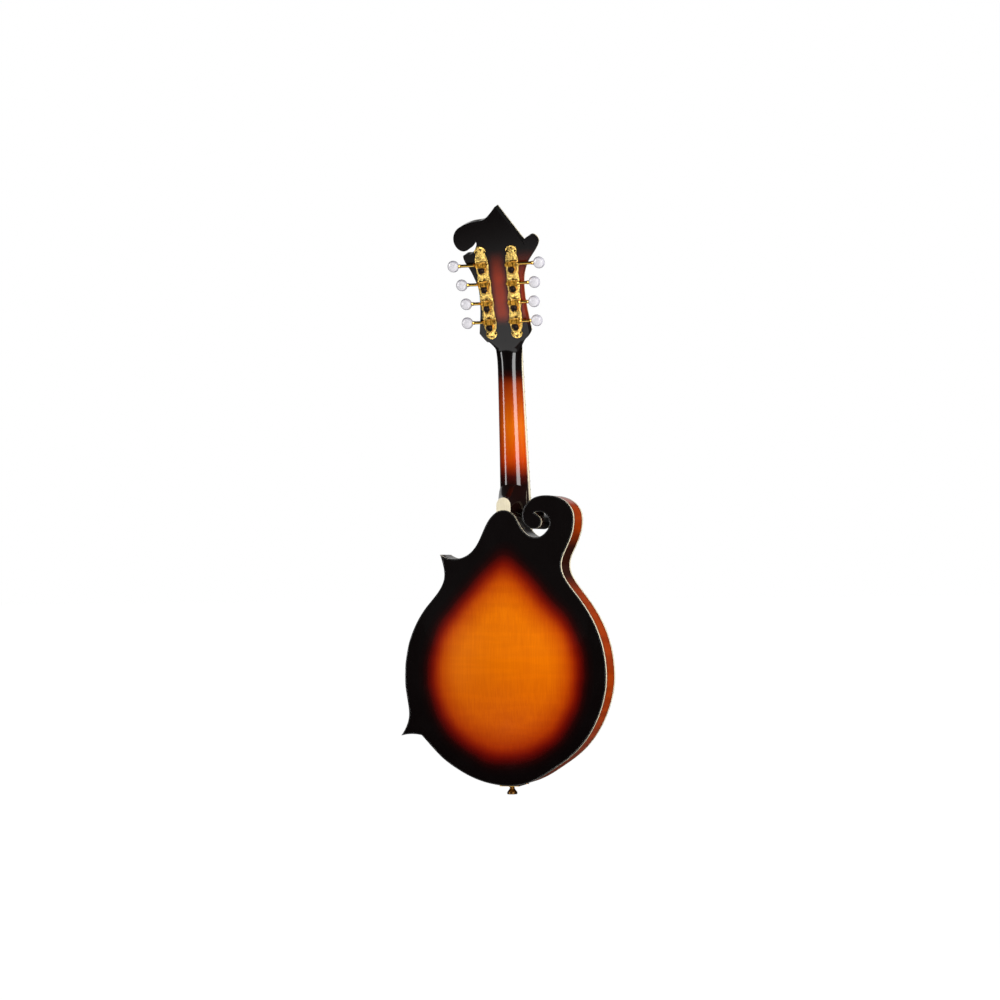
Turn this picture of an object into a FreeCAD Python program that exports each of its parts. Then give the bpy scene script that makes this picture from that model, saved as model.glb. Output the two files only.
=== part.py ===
import FreeCAD, Part
import math
import os

Vector = FreeCAD.Vector
Rotation = FreeCAD.Rotation
Placement = FreeCAD.Placement

# An F-style mandolin, in millimetres. +Z runs up the neck, the strings face -Y, the back faces +Y,
# the scroll is at -X and the two body points are at +X. The origin is at the nut end of the neck.

# Driving dimensions: the body
TOP_FACE_Y = -13.0          # edge of the top plate
BACK_FACE_Y = 31.0          # edge of the back plate
PLATE_EDGE = 4.5            # thickness of both plates and of their bindings at the edge
BINDING_WIDTH = 1.4
RIB_THICKNESS = 2.4
LINING_WIDTH = 5.0
LINING_HEIGHT = 7.0
GLUE_GAP = 0.05             # glue line between the plates and what stands between them
TOP_ARCH = 14.0
BACK_ARCH = 9.5
ARCH_GAIN = 0.3             # how much more the inner face is arched than the outer one
ARCH_CENTRE_Z = -385.0
ARCH_HALF_WIDTH = 115.0
ARCH_UP = 168.0
ARCH_DOWN = 133.0
RIB_MIDDLE_Y = 9.0
BODY_BOTTOM_Z = -529.0
HEEL_JOINT_Z = -202.0

# Driving dimensions: the neck and the fingerboard
SCALE_LENGTH = 350.0
NECK_SLOPE = 4.8            # degrees that the neck leans back from the body's plane
GLUE_Y = -4.6               # the fingerboard's underside at the nut
BOARD_THICKNESS = 5.5
BOARD_NUT_HALF = 14.75
BOARD_TAPER = 0.0202        # growth of the half width for each millimetre down the neck
BOARD_END_BASS = 242.0
BOARD_END_TREBLE = 258.0
FRET_COUNT = 23
FRET_RADIUS = 1.0
NECK_DEPTH_NUT = 14.4
NECK_DEPTH_HEEL = 17.0
NUT_THICKNESS = 4.5
NUT_FALL = 1.75             # how far the nut's top falls towards the peghead
HEEL_CAP_THICKNESS = 2.0

# Driving dimensions: the peghead, in its own plane (x, t along it, w out of its front face)
PEGHEAD_TILT = 18.43        # degrees that the peghead leans back from +Z
PEGHEAD_THICKNESS = 15.0
VENEER = 2.0
PEGHEAD_BINDING = 1.2
POCKET_HALF = 4.0
POCKET_LOW = 5.6
POCKET_HIGH = 24.0
POCKET_DEPTH = 9.0

# Driving dimensions: one tuner
POSTS = [(18.7, 98.0), (17.9, 74.6), (17.1, 51.2), (16.2, 27.9)]
KNOB_X = [53.4, 45.3, 42.4, 43.5]
POST_RADIUS = 2.9
RUNNING = 0.05              # radial clearance of every turning fit
BUSHING_RADIUS = 3.9
PLATE_THICKNESS = 1.2
WORM_DEPTH = 19.6           # worm axis behind the peghead's front face
WORM_OFFSET = 7.0           # worm axis above its gear's axis
WORM_ROOT = 1.8
WORM_CREST = 2.9
WORM_HALF = 3.8
SHAFT_RADIUS = 1.5
FERRULE_RADIUS = 2.2
GEAR_TEETH = 14
GEAR_PITCH = 4.6
GEAR_OUTER = 5.1
GEAR_ROOT = 4.0
GEAR_THICKNESS = 3.0
EAR_OFFSET = 5.2
EAR_THICKNESS = 1.4
KNOB_RADIUS = 7.2
KNOB_HALF = 3.7             # half the thickness of a button
KNOB_ROUNDING = 3.2

# Driving dimensions: the bridge, the strings and the tailpiece
BRIDGE_Z = -350.5
BRIDGE_POST_X = 36.0
BRIDGE_POST_RADIUS = 1.75
BASE_TOP_Y = -31.5
WHEEL_LOW_Y = -33.0
WHEEL_THICKNESS = 2.4
WHEEL_RADIUS = 8.0
SADDLE_LOW_Y = -35.5
SADDLE_TOP_Y = -42.4
STRING_REST_Y = -42.5       # the strings' underside at the saddle
STRING_NUT_Y = -11.55       # the strings' underside at the nut
PAIR_NUT = [-11.2, -3.75, 3.75, 11.2]
PAIR_BRIDGE = [-19.0, -6.4, 6.4, 19.0]
STRING_RADII = [0.50, 0.34, 0.20, 0.14]
TAIL_Z = -530.3             # outer face of the tailpiece's mounting plate
TAIL_BEND_Y = -15.6
TAIL_SLOPE = 6.36           # degrees that the tailpiece rises over the top
TAIL_LENGTH = 94.0
TAIL_HALF = 14.0
TAIL_METAL = 1.2
COVER_INNER = 6.0
COVER_METAL = 0.8
COVER_GAP = 1.0             # clearance beside the tailpiece's plate
HOOK_SPREAD = 0.5           # the strings' spread at the hooks against that at the bridge
HOOK_RADIUS = 0.55

# The body's outline (x, z), from the neck round the treble side. Each list is one smooth edge.
SHOULDER = [(9, -202), (21.8, -216.4), (32.2, -237.8), (44.6, -252), (62.7, -257.3), (80.4, -251.7)]
UPPER_POINT = SHOULDER[-1]
LOWER_POINT = (132.7, -469.5)
TREBLE_BOUT = [UPPER_POINT, (76, -267), (75.6, -281), (81.9, -294.8), (99.9, -316.4), (113.4, -338),
               (121.8, -359.7), (126.5, -388.6), (126.4, -410.4), (123, -433), (122.3, -446),
               (125.6, -458), LOWER_POINT]
POINT_UNDERSIDE = [LOWER_POINT, (120.5, -467.6), (106.5, -468.9)]
BASS_BOUT = [(106.5, -468.9), (94, -482.5), (79.5, -496.8), (60, -510.3), (42, -519.6), (22, -526),
             (1, -528.8), (-20, -527), (-40, -519.2), (-62, -505.6), (-80, -492.6), (-95.7, -476.6),
             (-109.5, -455.1), (-118.3, -433.6), (-123.2, -412), (-123.8, -388), (-119.7, -361.9), (-109.2, -333.2),
             (-90.9, -304.3), (-77, -285.5), (-71, -272), (-71.2, -260)]
SCROLL = [(-77, -246.2), (-83.5, -231.5), (-87, -214), (-84.5, -199.5), (-77.2, -190.5),
          (-66, -184.7), (-52.1, -182.8), (-38.5, -185.3), (-28.2, -193.7), (-23.6, -204),
          (-24.7, -213.4), (-31, -220.6), (-40.4, -222.4), (-46.4, -217.5), (-46.6, -211),
          (-42.5, -206.3), (-38.6, -203.4)]
SCROLL_SLOT = [SCROLL[-1], (-43.5, -202.2), (-50, -203.4), (-55.6, -210), (-57, -218), (-52.2, -226.8),
               (-42.5, -232.6), (-33, -231.4), (-25, -225.5), (-19.1, -216.4), (-14.5, -208),
               (-8.5, -202)]

NECK_JOINT = [SCROLL_SLOT[-1], (0, -199.6), SHOULDER[0]]

# The peghead's outline (x, t), from its tip round the treble side and back
HEAD_TIP = (-4.5, 173.6)
HEAD_BIG_SCROLL = [HEAD_TIP, (4.5, 163.9), (10.7, 159.2), (26.9, 156.5), (37.5, 153.3), (45.7, 148.8),
                   (50.4, 141.6), (51.2, 134.5), (46, 124.3), (40.5, 121.8), (34.5, 123.2),
                   (30, 127), (25.6, 134.1)]
HEAD_NOTCH = [(25.6, 134.1), (23, 131), (24.5, 125.5), (28, 120.5), (32.5, 117.9), (37.7, 117.9),
              (41.3, 116.4)]
HEAD_TREBLE_SIDE = [(41.3, 116.4), (40.4, 110.5), (35.7, 101.6), (29.7, 87), (26.6, 76.2), (26.2, 62),
                    (27.5, 44.8), (29.2, 33), (31.2, 20.2)]
HEAD_TREBLE_SHOULDER = [(31.2, 20.2), (27.5, 15), (22.5, 9)]
HEAD_BASS_SHOULDER = [(-22.5, 9), (-28.9, 15.9), (-31, 19.8)]
HEAD_BASS_SIDE = [(-31, 19.8), (-30, 28.5), (-28.4, 42.8), (-27.2, 57.8), (-27.2, 73.5), (-28.6, 85.9),
                  (-35.4, 103.7), (-42.1, 112.7), (-49.5, 123.5), (-51, 128.4), (-48.7, 134),
                  (-44, 136.6), (-38.7, 134.6), (-34.5, 131.1)]
HEAD_SLIT = (-37, 124.9)

# The tuner plate's half outline (distance from its middle line, distance from its lower end)
PLATE_STEPS = 160
PLATE_LENGTH = 114.0
PLATE_LOW = 13.0
PLATE_HALF = 7.9
PLATE_WAIST = 1.5
PLATE_LEAN = 2.0            # degrees between a plate and the peghead's middle line


def spline(points, place):
    curve = Part.BSplineCurve()
    curve.interpolate([place(u, v) for u, v in points])
    return curve.toShape()


def flat(y):
    return lambda u, v: Vector(u, y, v)


def face_of(edges):
    return Part.Face(Part.Wire(edges))


def inset_face(face, inset):
    # the face's edge moved inwards, its offset curves turned into splines
    return face.makeOffset2D(-inset, 0).toNurbs()


def polygon(points):
    return face_of([Part.makeLine(a, b) for a, b in zip(points, points[1:] + points[:1])])


def box(low, high):
    size = Vector(*high) - Vector(*low)
    return Part.makeBox(size.x, size.y, size.z, Vector(*low))


def rod(radius, start, end):
    direction = Vector(*end) - Vector(*start)
    return Part.makeCylinder(radius, direction.Length, Vector(*start), direction)


def fused(shapes):
    return shapes[0].multiFuse(shapes[1:]).removeSplitter() if len(shapes) > 1 else shapes[0]


def placed(shape, placement):
    copy = shape.copy()
    copy.Placement = placement.multiply(copy.Placement)
    return copy


def mirrored(shape):
    return shape.mirror(Vector(0, 0, 0), Vector(1, 0, 0))


neck_frame = Placement(Vector(0, GLUE_Y, 0), Rotation(Vector(1, 0, 0), -NECK_SLOPE))
head_frame = Placement(Vector(0, GLUE_Y, 0), Rotation(Vector(1, 0, 0), 90 - PEGHEAD_TILT))
tail_frame = Placement(Vector(0, TAIL_BEND_Y, TAIL_Z), Rotation(Vector(1, 0, 0), TAIL_SLOPE))


def save(name, shape):
    solids = shape.Solids
    result = solids[0] if len(solids) == 1 else Part.makeCompound(solids)
    result.exportStep("parts/" + name + ".step")
    print(name, len(solids), "solids", round(sum(s.Volume for s in solids)), "mm3",
          "ok" if result.isValid() else "NOT VALID")


# ---- body ----

def body_face(inset):
    edges = [spline(SHOULDER, flat(0)), spline(TREBLE_BOUT, flat(0)), spline(POINT_UNDERSIDE, flat(0)),
             spline(BASS_BOUT + SCROLL, flat(0)), spline(SCROLL_SLOT, flat(0)),
             Part.Arc(*[flat(0)(u, v) for u, v in NECK_JOINT]).toShape()]
    face = face_of(edges)
    return inset_face(face, inset) if inset else face


def body_prism(inset, low_y, high_y):
    shape = body_face(inset)
    shape.translate(Vector(0, low_y, 0))
    return shape.extrude(Vector(0, high_y - low_y, 0))


def arch(x, z):
    # 1 at the crown, falling in a smooth bell to 0 at the recurve along the edge
    reach = ARCH_UP if z > ARCH_CENTRE_Z else ARCH_DOWN
    distance = math.hypot(x / ARCH_HALF_WIDTH, (z - ARCH_CENTRE_Z) / reach)
    return math.cos(min(distance, 1.0) * math.pi / 2) ** 2


def under_arch(edge_y, height, outward):
    # a solid that fills everything behind an arched surface, outward is -1 for the top, 1 for the back
    columns = [-150 + 20 * i for i in range(16)]
    rows = [-560 + 20 * i for i in range(20)]
    surface = Part.BSplineSurface()
    surface.interpolate([[Vector(x, edge_y + outward * height * arch(x, z), z) for x in columns]
                         for z in rows])
    return surface.toShape().extrude(Vector(0, -60 * outward, 0))


def arched_plate(edge_y, height, outward):
    inner_y = edge_y - outward * PLATE_EDGE
    shell = under_arch(edge_y, height, outward).cut(under_arch(inner_y, height + ARCH_GAIN, outward))
    low, high = sorted((inner_y - outward * 4, edge_y + outward * (height + 4)))
    return shell.common(body_prism(BINDING_WIDTH, low, high))


def f_hole(side):
    # two round eyes joined by a leaning S-shaped slot with two small wings
    left = [(42, -318), (50.5, -334), (55, -353), (62, -372), (72, -384)]
    right = [(75.5, -381), (68, -368), (61.5, -352), (57, -334), (46, -316)]
    place = flat(TOP_FACE_Y - 30)
    slot = face_of([spline(left, place), Part.makeLine(place(*left[-1]), place(*right[0])),
                    spline(right, place), Part.makeLine(place(*right[-1]), place(*left[0]))])
    shapes = [slot.extrude(Vector(0, 40, 0)),
              rod(4.2, (40.5, TOP_FACE_Y - 30, -315), (40.5, TOP_FACE_Y + 10, -315)),
              rod(5.2, (76.5, TOP_FACE_Y - 30, -385), (76.5, TOP_FACE_Y + 10, -385))]
    hole = fused(shapes)
    return hole if side > 0 else mirrored(hole)


def body_plates():
    back = arched_plate(BACK_FACE_Y, BACK_ARCH, 1)
    top = arched_plate(TOP_FACE_Y, TOP_ARCH, -1)
    return back, top.cut(Part.makeCompound([f_hole(1), f_hole(-1)]))


def wedge(angles, low_y, high_y):
    # a pie slice of the body's plan round its middle, used to part the rim at its joints
    middle = Vector(0, low_y, -340)
    rim = [middle + Vector(math.cos(math.radians(a)), 0, math.sin(math.radians(a))) * 400 for a in angles]
    return polygon([middle] + rim).extrude(Vector(0, high_y - low_y, 0))


def point_angle(point):
    return math.degrees(math.atan2(point[1] + 340, point[0]))


rib_low = TOP_FACE_Y + PLATE_EDGE
rib_high = BACK_FACE_Y - PLATE_EDGE


def rim_strips(thickness, low, high):
    # the rim in four strips, mitred at the two points and parted at the tail and the neck
    ring = body_prism(0, low, high).cut(body_prism(thickness, low, high))
    upper, lower = point_angle(UPPER_POINT), point_angle(LOWER_POINT)
    slices = [(90, upper), (upper, 0, lower), (lower, -90), (-90, -135, -180, -225, -270)]
    return Part.makeCompound([ring.common(wedge(s, low, high)) for s in slices])


def ribs():
    return rim_strips(RIB_THICKNESS, rib_low + GLUE_GAP, rib_high - GLUE_GAP)


def blocks():
    inner = body_prism(RIB_THICKNESS, rib_low, rib_high)
    head = inner.common(box((-100, rib_low, -244), (40, rib_high, -180)))
    tail = inner.common(box((-28, rib_low, -540), (32, rib_high, -510)))
    upper = inner.common(rod(20, (74, rib_low, -262), (74, rib_high, -262)))
    lower = inner.common(rod(20, (120, rib_low, -460), (120, rib_high, -460)))
    pin_hole = rod(2.2, (0, RIB_MIDDLE_Y, -531), (0, RIB_MIDDLE_Y, -512))
    return Part.makeCompound([head, tail.cut(pin_hole), upper, lower])


def linings(solid_blocks):
    rings = []
    for low in (rib_low + GLUE_GAP, rib_high - LINING_HEIGHT - GLUE_GAP):
        high = low + LINING_HEIGHT
        ring = body_prism(RIB_THICKNESS, low, high).cut(body_prism(RIB_THICKNESS + LINING_WIDTH, low, high))
        rings.append(ring.common(box((-140, low, -540), (140, high, -244))).cut(solid_blocks))
    return Part.makeCompound([s for r in rings for s in r.Solids if s.Volume > 50])


def tone_bars():
    bars = []
    for side in (-1, 1):
        bar = box((side * 22 - 2.5, TOP_FACE_Y - TOP_ARCH, -455), (side * 22 + 2.5, -4, -285))
        bar.rotate(Vector(side * 22, 0, -385), Vector(0, 1, 0), side * 5)
        bars.append(bar.common(under_arch(rib_low + GLUE_GAP, TOP_ARCH + ARCH_GAIN, -1)))
    return Part.makeCompound(bars)


def bindings():
    sides = ((rib_high, BACK_FACE_Y), (TOP_FACE_Y, rib_low))
    return [rim_strips(BINDING_WIDTH, low, high) for low, high in sides]


def end_pin():
    profile = [(0, -514), (2.15, -514), (2.15, -530.4), (2.6, -531), (3.2, -534), (5.9, -537.6),
               (6.3, -539), (5.9, -540.4), (0, -540.4)]
    face = polygon([Vector(r, RIB_MIDDLE_Y, z) for r, z in profile])
    return face.revolve(Vector(0, RIB_MIDDLE_Y, 0), Vector(0, 0, 1), 360)


# ---- neck ----

def section(place, half_width, depth, power):
    # a D-shaped slice of the neck: flat under the fingerboard, a superellipse behind
    count = 12
    points = []
    for i in range(count + 1):
        angle = math.pi * i / count
        c, s = math.cos(angle), math.sin(angle)
        x = half_width * math.copysign(abs(c) ** (2 / power), c)
        points.append((x, depth * abs(s) ** (2 / power)))
    curve = Part.BSplineCurve()
    curve.interpolate([place(x, d) for x, d in points])
    return Part.Wire([curve.toShape(), Part.makeLine(place(*points[-1]), place(*points[0]))])


def in_neck(s):
    return lambda x, d: neck_frame.multVec(Vector(x, d, -s))


def in_head(t):
    return lambda x, d: head_frame.multVec(Vector(x, t, -VENEER - d))


def heel_section(y, half_width, top):
    low = HEEL_JOINT_Z - 16
    place = flat(y)
    points = [(half_width, low)]
    count = 10
    for i in range(count + 1):
        angle = math.pi * i / count
        c, s = math.cos(angle), math.sin(angle)
        points.append((half_width * c, top - half_width * 1.1 + half_width * 1.1 * s))
    points.append((-half_width, low))
    edges = [Part.makeLine(place(*points[0]), place(*points[1])), spline(points[1:-1], place),
             Part.makeLine(place(*points[-2]), place(*points[-1])),
             Part.makeLine(place(*points[-1]), place(*points[0]))]
    return Part.Wire(edges)


def head_face():
    place = lambda x, t: Vector(x, t, 0)
    edges = [spline(p, place) for p in (HEAD_BIG_SCROLL, HEAD_NOTCH, HEAD_TREBLE_SIDE, HEAD_TREBLE_SHOULDER)]
    edges.append(Part.makeLine(place(*HEAD_TREBLE_SHOULDER[-1]), place(*HEAD_BASS_SHOULDER[0])))
    edges += [spline(p, place) for p in (HEAD_BASS_SHOULDER, HEAD_BASS_SIDE)]
    edges.append(Part.makeLine(place(*HEAD_BASS_SIDE[-1]), place(*HEAD_SLIT)))
    edges.append(Part.makeLine(place(*HEAD_SLIT), place(*HEAD_TIP)))
    return face_of(edges)


def head_slab(face, low_w, high_w):
    slab = face.copy()
    slab.translate(Vector(0, 0, low_w))
    return slab.extrude(Vector(0, 0, high_w - low_w))


def head_holes(radius, low_w, high_w):
    return [rod(radius, (side * x, t, low_w), (side * x, t, high_w)) for x, t in POSTS for side in (-1, 1)]


def truss_line(z):
    # the rod lies in the middle of the neck, parallel to the fingerboard
    return (0, 3.0 + math.tan(math.radians(NECK_SLOPE)) * z, z)


def neck():
    slices = [section(in_neck(s), half, depth, 2.3) for s, half, depth in
              ((218, 17.8, NECK_DEPTH_HEEL), (30, 14.7, NECK_DEPTH_NUT))]
    slices.append(section(in_neck(6), 14.5, NECK_DEPTH_NUT - 0.2, 2.5))
    for t, half, power in ((0.5, 15.6, 2.8), (3, 17.4, 3.6), (6, 19.8, 5.0), (9.02, 22.5, 7.0)):
        slices.append(section(in_head(t), half, PEGHEAD_THICKNESS - VENEER, power))
    shaft = Part.makeLoft(slices, True, True)
    heel = Part.makeLoft([heel_section(-12, 17.2, -158), heel_section(2, 14.5, -171),
                          heel_section(16, 10.5, -180.5),
                          heel_section(BACK_FACE_Y - HEEL_CAP_THICKNESS, 8.6, -184.5)], True)
    slab = placed(head_slab(head_face(), -PEGHEAD_THICKNESS, -VENEER), head_frame)
    wood = fused([shaft, heel, slab])
    wood = wood.cut(body_prism(0, TOP_FACE_Y, BACK_FACE_Y + 5))
    extension = polygon([Vector(-15, neck_frame.multVec(Vector(0, 0, z)).y, z) for z in (-214, -250)]
                        + [Vector(-15, -15.7, -250), Vector(-15, TOP_FACE_Y, -214)])
    wood = wood.fuse(extension.extrude(Vector(30, 0, 0)))
    pocket = box((-POCKET_HALF, POCKET_LOW, -POCKET_DEPTH), (POCKET_HALF, POCKET_HIGH, 0))
    cuts = [placed(h, head_frame) for h in head_holes(BUSHING_RADIUS, -16, 1)]
    cuts += [placed(pocket, head_frame), rod(2.1, truss_line(-192), truss_line(12))]
    nut_room = box((-20, -40, 0), (20, head_frame.multVec(Vector(0, 0, -VENEER)).y, NUT_THICKNESS))
    return wood.cut(Part.makeCompound(cuts)).cut(nut_room.common(placed(
        box((-20, -9, -VENEER), (20, 30, 20)), head_frame)))


def heel_cap():
    outline = Part.Face(heel_section(BACK_FACE_Y - HEEL_CAP_THICKNESS, 8.6, -184.5))
    return outline.extrude(Vector(0, HEEL_CAP_THICKNESS, 0)).cut(body_prism(0, 20, 40))


def board_half(s):
    return BOARD_NUT_HALF + BOARD_TAPER * s


def board_outline(inset, low_y, high_y):
    bass, treble = BOARD_END_BASS, BOARD_END_TREBLE
    points = [Vector(-board_half(0) + inset, low_y, 0), Vector(board_half(0) - inset, low_y, 0),
              Vector(board_half(treble) - inset, low_y, -treble), Vector(4, low_y, -treble),
              Vector(-4, low_y, -bass), Vector(-board_half(bass) + inset, low_y, -bass)]
    return polygon(points).extrude(Vector(0, high_y - low_y, 0))


def dot_places():
    places = []
    for fret, offsets in ((3, [0]), (5, [0]), (7, [0]), (10, [0]), (12, [-5, 5]), (15, [0])):
        middle = (fret_distance(fret) + fret_distance(fret - 1)) / 2
        places += [(x, middle) for x in offsets]
    return places


def fret_distance(number):
    return SCALE_LENGTH * (1 - 2 ** (-number / 12))


def fingerboard():
    dots = [rod(2.5, (x, -BOARD_THICKNESS - 1, -s), (x, -BOARD_THICKNESS + 1.2, -s)) for x, s in dot_places()]
    board = board_outline(BINDING_WIDTH, -BOARD_THICKNESS, 0)
    edge = board_outline(0, -BOARD_THICKNESS, 0).cut(board)
    inlays = [rod(2.5, (x, -BOARD_THICKNESS, -s), (x, -BOARD_THICKNESS + 1.2, -s)) for x, s in dot_places()]
    return board.cut(Part.makeCompound(dots)), edge, Part.makeCompound(inlays)


def frets():
    bars = []
    for number in range(1, FRET_COUNT + 1):
        s = fret_distance(number)
        left = -board_half(s) if s < BOARD_END_BASS - 3 else 1.5
        half_round = Part.makeCylinder(FRET_RADIUS, board_half(s) - left, Vector(left, -BOARD_THICKNESS, -s),
                                       Vector(1, 0, 0))
        bars.append(half_round.cut(box((-40, -BOARD_THICKNESS, -300), (40, 5, 5))))
    return Part.makeCompound(bars)


def nut():
    floor_low = head_frame.multVec(Vector(0, VENEER * math.tan(math.radians(PEGHEAD_TILT)), -VENEER))
    t_high = (NUT_THICKNESS - floor_low.z) / math.cos(math.radians(PEGHEAD_TILT))
    floor_high = floor_low + Vector(0, math.sin(math.radians(PEGHEAD_TILT)),
                                    math.cos(math.radians(PEGHEAD_TILT))) * t_high
    x, top = -board_half(0), STRING_NUT_Y + 0.05
    board_end = (GLUE_Y - top) * math.tan(math.radians(NECK_SLOPE))
    profile = [Vector(x, top, board_end), Vector(x, top + NUT_FALL, NUT_THICKNESS),
               Vector(x, floor_high.y, NUT_THICKNESS), Vector(x, floor_low.y, 0), Vector(x, GLUE_Y, 0)]
    return polygon(profile).extrude(Vector(2 * board_half(0), 0, 0))


def head_front():
    # the black veneer, its binding, the cover of the truss rod's pocket and the veneer's holes
    face = head_face()
    inner = inset_face(face, PEGHEAD_BINDING)
    below_nut = box((-40, -10, -5), (40, POCKET_LOW - 0.15, 5))
    pocket = box((-POCKET_HALF, POCKET_LOW - 1, -POCKET_DEPTH), (POCKET_HALF, POCKET_HIGH, 1))
    holes = Part.makeCompound(head_holes(BUSHING_RADIUS, -5, 5))
    neck_end = [Vector(-15.2, POCKET_LOW - 0.15, -VENEER), Vector(15.2, POCKET_LOW - 0.15, -VENEER),
                Vector(21.2, 10.25, -VENEER), Vector(-21.2, 10.25, -VENEER)]
    foot = polygon(neck_end).extrude(Vector(0, 0, VENEER))
    sheet = head_slab(inner, -VENEER, 0)
    veneer = sheet.fuse(foot).cut(below_nut).cut(pocket).cut(holes)
    edge = head_slab(face, -VENEER, 0).cut(sheet).cut(foot)
    veneer = max(veneer.Solids, key=lambda solid: solid.Volume)
    return placed(veneer, head_frame), placed(edge, head_frame)


def truss_cover():
    place = lambda x, t: Vector(x, t, 0)
    side = [(10.5, 6.2), (9.8, 12), (6.2, 19), (4.9, 26), (3.4, 31.5), (0, 33.5)]
    edges = [spline(side, place), spline([(-x, t) for x, t in reversed(side)], place),
             Part.makeLine(place(-10.5, 6.2), place(10.5, 6.2))]
    plate = face_of(edges).extrude(Vector(0, 0, 1.6))
    holes = [rod(0.9, (x, t, -1), (x, t, 3)) for x, t in ((-8, 8.4), (8, 8.4), (0, 29.5))]
    return placed(plate.cut(Part.makeCompound(holes)), head_frame)


def cover_screws():
    return [screw(x, t, 1.6, 1, 1.5, 0.9, 4.5) for x, t in ((-8, 8.4), (8, 8.4), (0, 29.5))]


def screw(x, t, seat_w, outward, head_radius, shank_radius, length):
    # a slotted dome-headed wood screw in the peghead's plane, outward is 1 at the front, -1 behind
    head = Part.makeSphere(head_radius * 1.25, Vector(x, t, seat_w - outward * head_radius * 0.75))
    half = box((x - 5, t - 5, 0), (x + 5, t + 5, 5))
    half.translate(Vector(0, 0, seat_w if outward > 0 else seat_w - 5))
    slot = box((x - 5, t - 0.25, 0), (x + 5, t + 0.25, 1))
    slot.translate(Vector(0, 0, seat_w + outward * head_radius * 0.3 - (0 if outward > 0 else 1)))
    shank = rod(shank_radius, (x, t, seat_w), (x, t, seat_w - outward * length))
    return head.common(half).cut(slot).fuse(shank)


# ---- tuners ----

def plate_half_width(v):
    # four round-shouldered panels, parted by waists, between two round lobes with side notches
    lobe = 7.0
    inner_low, inner_high = 2 * lobe - 1.5, PLATE_LENGTH - 2 * lobe + 1.5
    if v <= lobe or v >= PLATE_LENGTH - lobe:
        away = lobe - min(v, PLATE_LENGTH - v)
        return math.sqrt(max(lobe ** 2 - away ** 2, 0))
    if v < inner_low or v > inner_high:
        away = min(v, PLATE_LENGTH - v) - lobe
        return lobe - 1.3 * math.sin(math.pi * away / (inner_low - lobe))
    pitch = (inner_high - inner_low) / 4
    phase = ((v - inner_low) % pitch) / pitch
    return PLATE_HALF - PLATE_WAIST * (1 - math.sin(math.pi * phase) ** 0.5)


def plate_face():
    rights = []
    for i in range(PLATE_STEPS + 1):
        v = PLATE_LENGTH * (1 - math.cos(math.pi * i / PLATE_STEPS)) / 2
        rights.append(Vector(plate_half_width(v), v, 0))
    lefts = [Vector(-p.x, p.y, 0) for p in reversed(rights[1:-1])]
    return polygon(rights + lefts)


def tuner_plate():
    # treble plate: its sheet and eight pierced ears that carry the worm shafts
    low = Vector(POSTS[3][0] - 0.55, PLATE_LOW, -PEGHEAD_THICKNESS - PLATE_THICKNESS)
    sheet = plate_face().extrude(Vector(0, 0, PLATE_THICKNESS))
    sheet.rotate(Vector(0, 0, 0), Vector(0, 0, 1), -PLATE_LEAN)
    sheet.translate(low)
    ears, bores = [], []
    for x, t in POSTS:
        worm_t = t + WORM_OFFSET
        for side in (-1, 1):
            middle = x + side * EAR_OFFSET
            ear = box((middle - EAR_THICKNESS / 2, worm_t - 2.6, -WORM_DEPTH),
                      (middle + EAR_THICKNESS / 2, worm_t + 2.6, -PEGHEAD_THICKNESS - PLATE_THICKNESS + 0.2))
            cap = rod(2.6, (middle - EAR_THICKNESS / 2, worm_t, -WORM_DEPTH),
                      (middle + EAR_THICKNESS / 2, worm_t, -WORM_DEPTH))
            ears += [ear, cap]
        bores.append(rod(SHAFT_RADIUS + RUNNING, (x - 9, worm_t, -WORM_DEPTH), (x + 9, worm_t, -WORM_DEPTH)))
        bores.append(rod(POST_RADIUS + RUNNING, (x, t, -17), (x, t, -14)))
    return fused([sheet] + ears).cut(Part.makeCompound(bores + screw_bores()))


def plate_screw_places():
    return [(16.0, 16.2), (16.7, 39.5), (17.5, 62.8), (18.3, 86.2), (19.4, 123.3)]


def screw_bores():
    return [rod(0.85, (x, t, -17), (x, t, -14)) for x, t in plate_screw_places()]


def plate_screws():
    seat = -PEGHEAD_THICKNESS - PLATE_THICKNESS
    return [screw(x, t, seat, -1, 1.35, 0.85, 8) for x, t in plate_screw_places()]


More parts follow.
